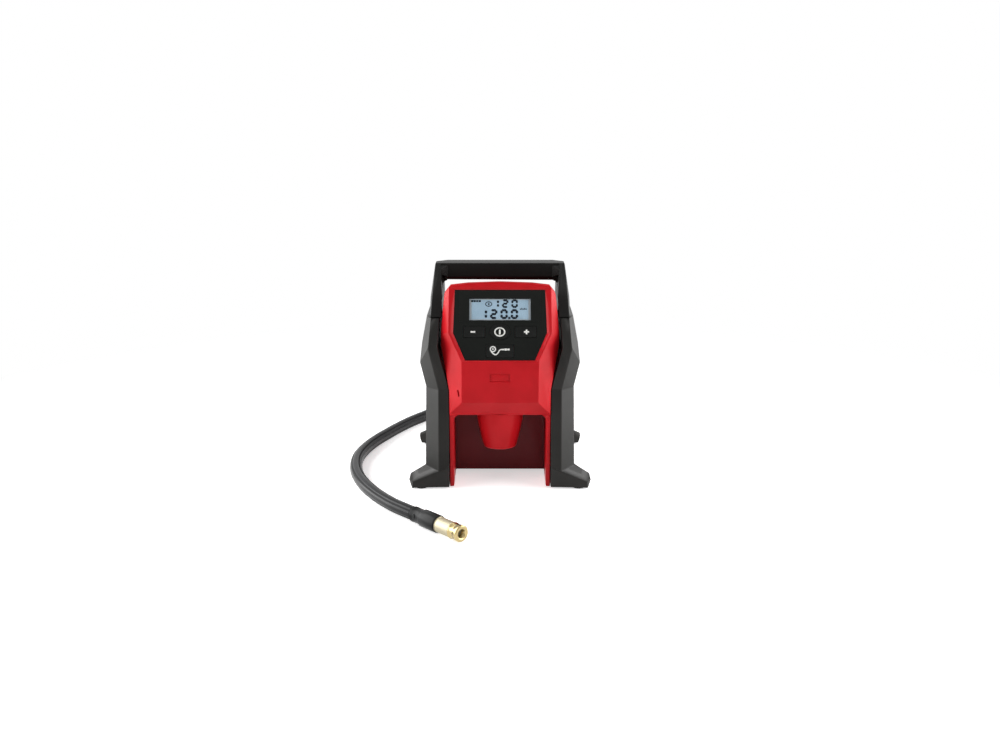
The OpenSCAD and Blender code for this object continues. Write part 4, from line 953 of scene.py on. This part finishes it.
def ribbon(name, points, width, low, high):
    """A flat stroke of even width along a line of points."""
    sides = []
    for sign in (1, -1):
        side = []
        for i, (x, y) in enumerate(points):
            before, after = points[max(i - 1, 0)], points[min(i + 1, len(points) - 1)]
            way = Vector((after[0] - before[0], after[1] - before[1])).normalized()
            side.append((x - sign * way.y * width / 2, y + sign * way.x * width / 2))
        sides.append(side)
    return plate(name, sides[1] + sides[0][::-1], low, high)


def oval(cx, cy, rx, ry, corners):
    turns = [math.tau * i / corners for i in range(corners)]
    return [(cx + rx * math.cos(turn), cy + ry * math.sin(turn)) for turn in turns]


def oval_ring(name, centre, outer, inner, low, high, corners=40):
    return framed_plate(name, oval(*centre, *outer, corners), oval(*centre, *inner, corners), low, high)


def sign(name, outline, height=FIGURE_PRINT):
    return plate(name, outline, FILM_H, FILM_H + height)


set_row = figures("set_pressure", "120", right=15.8, low=53.8, width=4.2, height=6.4, stroke=2.0,
                  pitch=8.84)
read_row = figures("read_pressure", "120.0", right=15.85, low=43.1, width=4.7, height=7.45, stroke=2.25,
                   pitch=9.67)
gauge = [oval_ring("eye", (-10.6, 56.6), (3.3, 2.55), (2.5, 1.75), FILM_H, FILM_H + FIGURE_PRINT)]
gauge += [sign("hand", rectangle(-11.3, 55.5, -10.5, 57.7), SIGN_PRINT)]
for low in (55.5, 56.35, 57.2):
    gauge.append(sign("tick", rectangle(-10.4, low, -9.6, low + 0.5), SIGN_PRINT))
battery = [sign("cell", rectangle(left, 58.5, left + 2.15, 60.4)) for left in (-27.2, -24.8, -22.4, -20.0)]
units = []
for i, height in enumerate((1.1, 1.6, 1.1, 1.6, 1.1)):
    left = 18.6 + 1.35 * i
    units.append(sign("unit", rectangle(left, 51.1, left + 1.0, 51.1 + height)))
figures_piece = on_slope(join("lcd_figures", [set_row, read_row, *gauge, *battery, *units]))
dress(figures_piece, figure_ink)
print("figures:", len(figures_piece.data.polygons), "faces")

# %% [markdown]
# The keys are rubber caps that stand a little out of the fascia and ride on their own bodies, so that each
# can be pressed. A cap is an outline that is extruded, its front face inset and sunk a little to make the
# soft dish that a fingertip finds. Its mark is a thin printed shape on the dish.

# %% Keys
KEY_BACK, KEY_H = -4.0, -1.1
KEY_MID = 29.1
KEY_CORNER, KEY_RIM, POWER_RIM = 1, 0.5, 1.6
DISH = 0.15
MARK_H, MARK_PRINT = KEY_H - 0.16, 0.08
DIAL = (-6.6, 12.6)


def rounded_outline(x0, y0, x1, y1, r, steps=6):
    corners = [(x1 - r, y1 - r, 0), (x0 + r, y1 - r, 90), (x0 + r, y0 + r, 180), (x1 - r, y0 + r, 270)]
    outline = []
    for cx, cy, start in corners:
        for i in range(steps + 1):
            turn = math.radians(start + 90 * i / steps)
            outline.append((cx + r * math.cos(turn), cy + r * math.sin(turn)))
    return outline


def key_cap(name, outline, rim):
    cap = plate(name, outline, KEY_BACK, KEY_H)
    with editing(cap) as mesh:
        pick(mesh, lambda middle, normal: normal.z > 0.9 and middle.z > (KEY_H - 0.1) * MM)
        bpy.ops.mesh.inset(thickness=rim * MM)
        bpy.ops.mesh.inset(thickness=DISH * 2 * MM)
        bpy.ops.transform.translate(value=(0, 0, -DISH * MM))
    return round_edges(cap, 0.18, 2)


def mark(name, outline, height=MARK_PRINT):
    return plate(name, outline, MARK_H, MARK_H + height)


def ring_mark(name, centre, outer, inner, corners):
    return oval_ring(name, centre, outer, inner, MARK_H, MARK_H + MARK_PRINT, corners)


power_ring = ring_mark("ring", (-0.2, KEY_MID), (5.2, 4.5), (3.9, 3.375), 60)
mode_line = [(-8.1, 10.3), (-7.4, 9.4), (-6.5, 8.4), (-5.2, 7.5), (-4.3, 7.25), (-3.4, 7.45), (-2.2, 8.5),
             (-1.4, 9.8), (-0.6, 11.3), (0.5, 12.1), (1.7, 12.2)]
# strokes that overlap are printed at slightly different heights
marks = {
    "minus": [mark("minus", rounded_outline(-27.5, 28.35, -23.1, 29.95, 0.3, 3))],
    "plus": [mark("plus", rectangle(22.3, 28.4, 27.1, 29.9)),
             mark("upright", rectangle(23.95, 26.85, 25.45, 31.35), 0.085)],
    "power": [power_ring, mark("bar", rounded_outline(-1.0, 26.5, 0.6, 31.5, 0.7))],
    "mode": [ring_mark("dial", DIAL, (2.95, 2.95), (1.85, 1.85), 40), mark("hub", oval(*DIAL, 0.8, 0.8, 24)),
             ribbon("line", mode_line, 1.1, MARK_H, MARK_H + 0.075)],
}
for left, right, half in ((1.6, 4.0, 0.7), (4.2, 6.4, 1.0), (6.6, 9.0, 0.85)):
    marks["mode"].append(mark("dash", rounded_outline(left, 12.2 - half, right, 12.2 + half, 0.35, 3)))
caps = {
    "minus": key_cap("minus_cap", rounded_outline(-33.65, 23.85, -14.15, 34.35, KEY_CORNER), KEY_RIM),
    "plus": key_cap("plus_cap", rounded_outline(14.15, 23.85, 33.65, 34.35, KEY_CORNER), KEY_RIM),
    "power": key_cap("power_cap", oval(0, KEY_MID, 9.37935, 7.4385, 60), POWER_RIM),
    "mode": key_cap("mode_cap", rounded_outline(-12.75, 4.45, 12.75, 16.55, KEY_CORNER), KEY_RIM),
}
for key, cap in caps.items():
    dress(on_slope(cap), key_rubber, f"{key}_key", [f"button_{key}"])
    dress(on_slope(join(f"{key}_mark", marks[key])), white_ink, f"{key}_key")
print("keys:", ", ".join(caps))

# %% [markdown]
# The studio is plain: a pale floor, a white world behind it, soft boxes that stand left and right and
# light the slanting sides of the shell more than its front, and a weak lamp above. To the camera and in
# reflections the world and the far floor are white. The world lights the object at a lower level, and the
# near floor keeps its shadow.

# %% Floor and lamps
AMBIENT = 0.15
FLOOR_GLOW = 0.56
FLOOR_NEAR, FLOOR_FAR = 0.28, 0.75
FLOOR_SIZE, FLOOR_Z = 60, -0.0002
LAMP_AIM = Vector((0, 0, 0.1))


def seen_rays(tree):
    """1 for rays that show the background: straight from the camera, mirrored or passed through."""
    path = tree.nodes.new("ShaderNodeLightPath")
    last = path.outputs["Is Camera Ray"]
    for ray in ("Is Glossy Ray", "Is Transmission Ray"):
        either = tree.nodes.new("ShaderNodeMath")
        either.operation = "MAXIMUM"
        tree.links.new(last, either.inputs[0])
        tree.links.new(path.outputs[ray], either.inputs[1])
        last = either.outputs[0]
    return last


def studio_floor():
    finish = Finish("studio_floor")
    faint = finish.noise(2, 2)
    pale = finish.set(base_color=finish.mix(faint, paint(240, 240, 240), paint(243, 243, 243)),
                      roughness=faint * 0.1 + 0.7, specular_ior_level=0.1)
    x, y, _ = finish.axes()
    far = finish.between((x * x + y * y).sum("SQRT", 0), FLOOR_NEAR, FLOOR_FAR)
    tree, links = pale.node_tree, pale.node_tree.links
    kinds = ("Emission", "Emission", "AddShader", "MixShader", "MixShader")
    glow, white, both, fade, blend = (tree.nodes.new(f"ShaderNode{kind}") for kind in kinds)
    glow.inputs["Strength"].default_value = FLOOR_GLOW
    links.new(finish.shader.outputs[0], both.inputs[0])
    links.new(glow.outputs[0], both.inputs[1])
    links.new(far.socket, fade.inputs[0])
    links.new(both.outputs[0], fade.inputs[1])
    links.new(white.outputs[0], fade.inputs[2])
    links.new(seen_rays(tree), blend.inputs[0])
    links.new(finish.shader.outputs[0], blend.inputs[1])
    links.new(fade.outputs[0], blend.inputs[2])
    links.new(blend.outputs[0], tree.nodes["Material Output"].inputs[0])
    return pale


bpy.ops.object.select_all(action="DESELECT")
bpy.ops.mesh.primitive_plane_add(size=FLOOR_SIZE, location=(0, 0, FLOOR_Z))
floor = bpy.context.active_object
floor.name = "studio_floor"
floor.data.materials.append(studio_floor())


def lamp(name, where, width, height, power):
    data = bpy.data.lights.new(name, "AREA")
    data.shape, data.size, data.size_y, data.energy = "RECTANGLE", width, height, power
    light = bpy.data.objects.new(name, data)
    bpy.context.collection.objects.link(light)
    light.location = where
    light.rotation_euler = (LAMP_AIM - Vector(where)).to_track_quat("-Z", "Y").to_euler()


lamp("left_lamp", (-0.62, -0.02, 0.3), 0.9, 0.7, 9.2)
lamp("right_lamp", (0.62, -0.02, 0.3), 0.9, 0.7, 8.5)
lamp("top_lamp", (0, 0.1, 1), 0.8, 0.6, 1.5)

world = bpy.data.worlds.new("studio")
bpy.context.scene.world = world
world.use_nodes = True
sky = world.node_tree
level = sky.nodes.new("ShaderNodeMapRange")
sky.links.new(seen_rays(sky), level.inputs["Value"])
level.inputs["To Min"].default_value = AMBIENT
level.inputs["To Max"].default_value = 1.0
sky.links.new(level.outputs[0], sky.nodes["Background"].inputs["Strength"])
sky.nodes["Background"].inputs["Color"].default_value = (1, 1, 1, 1)
bpy.context.scene.view_settings.view_transform = "Standard"
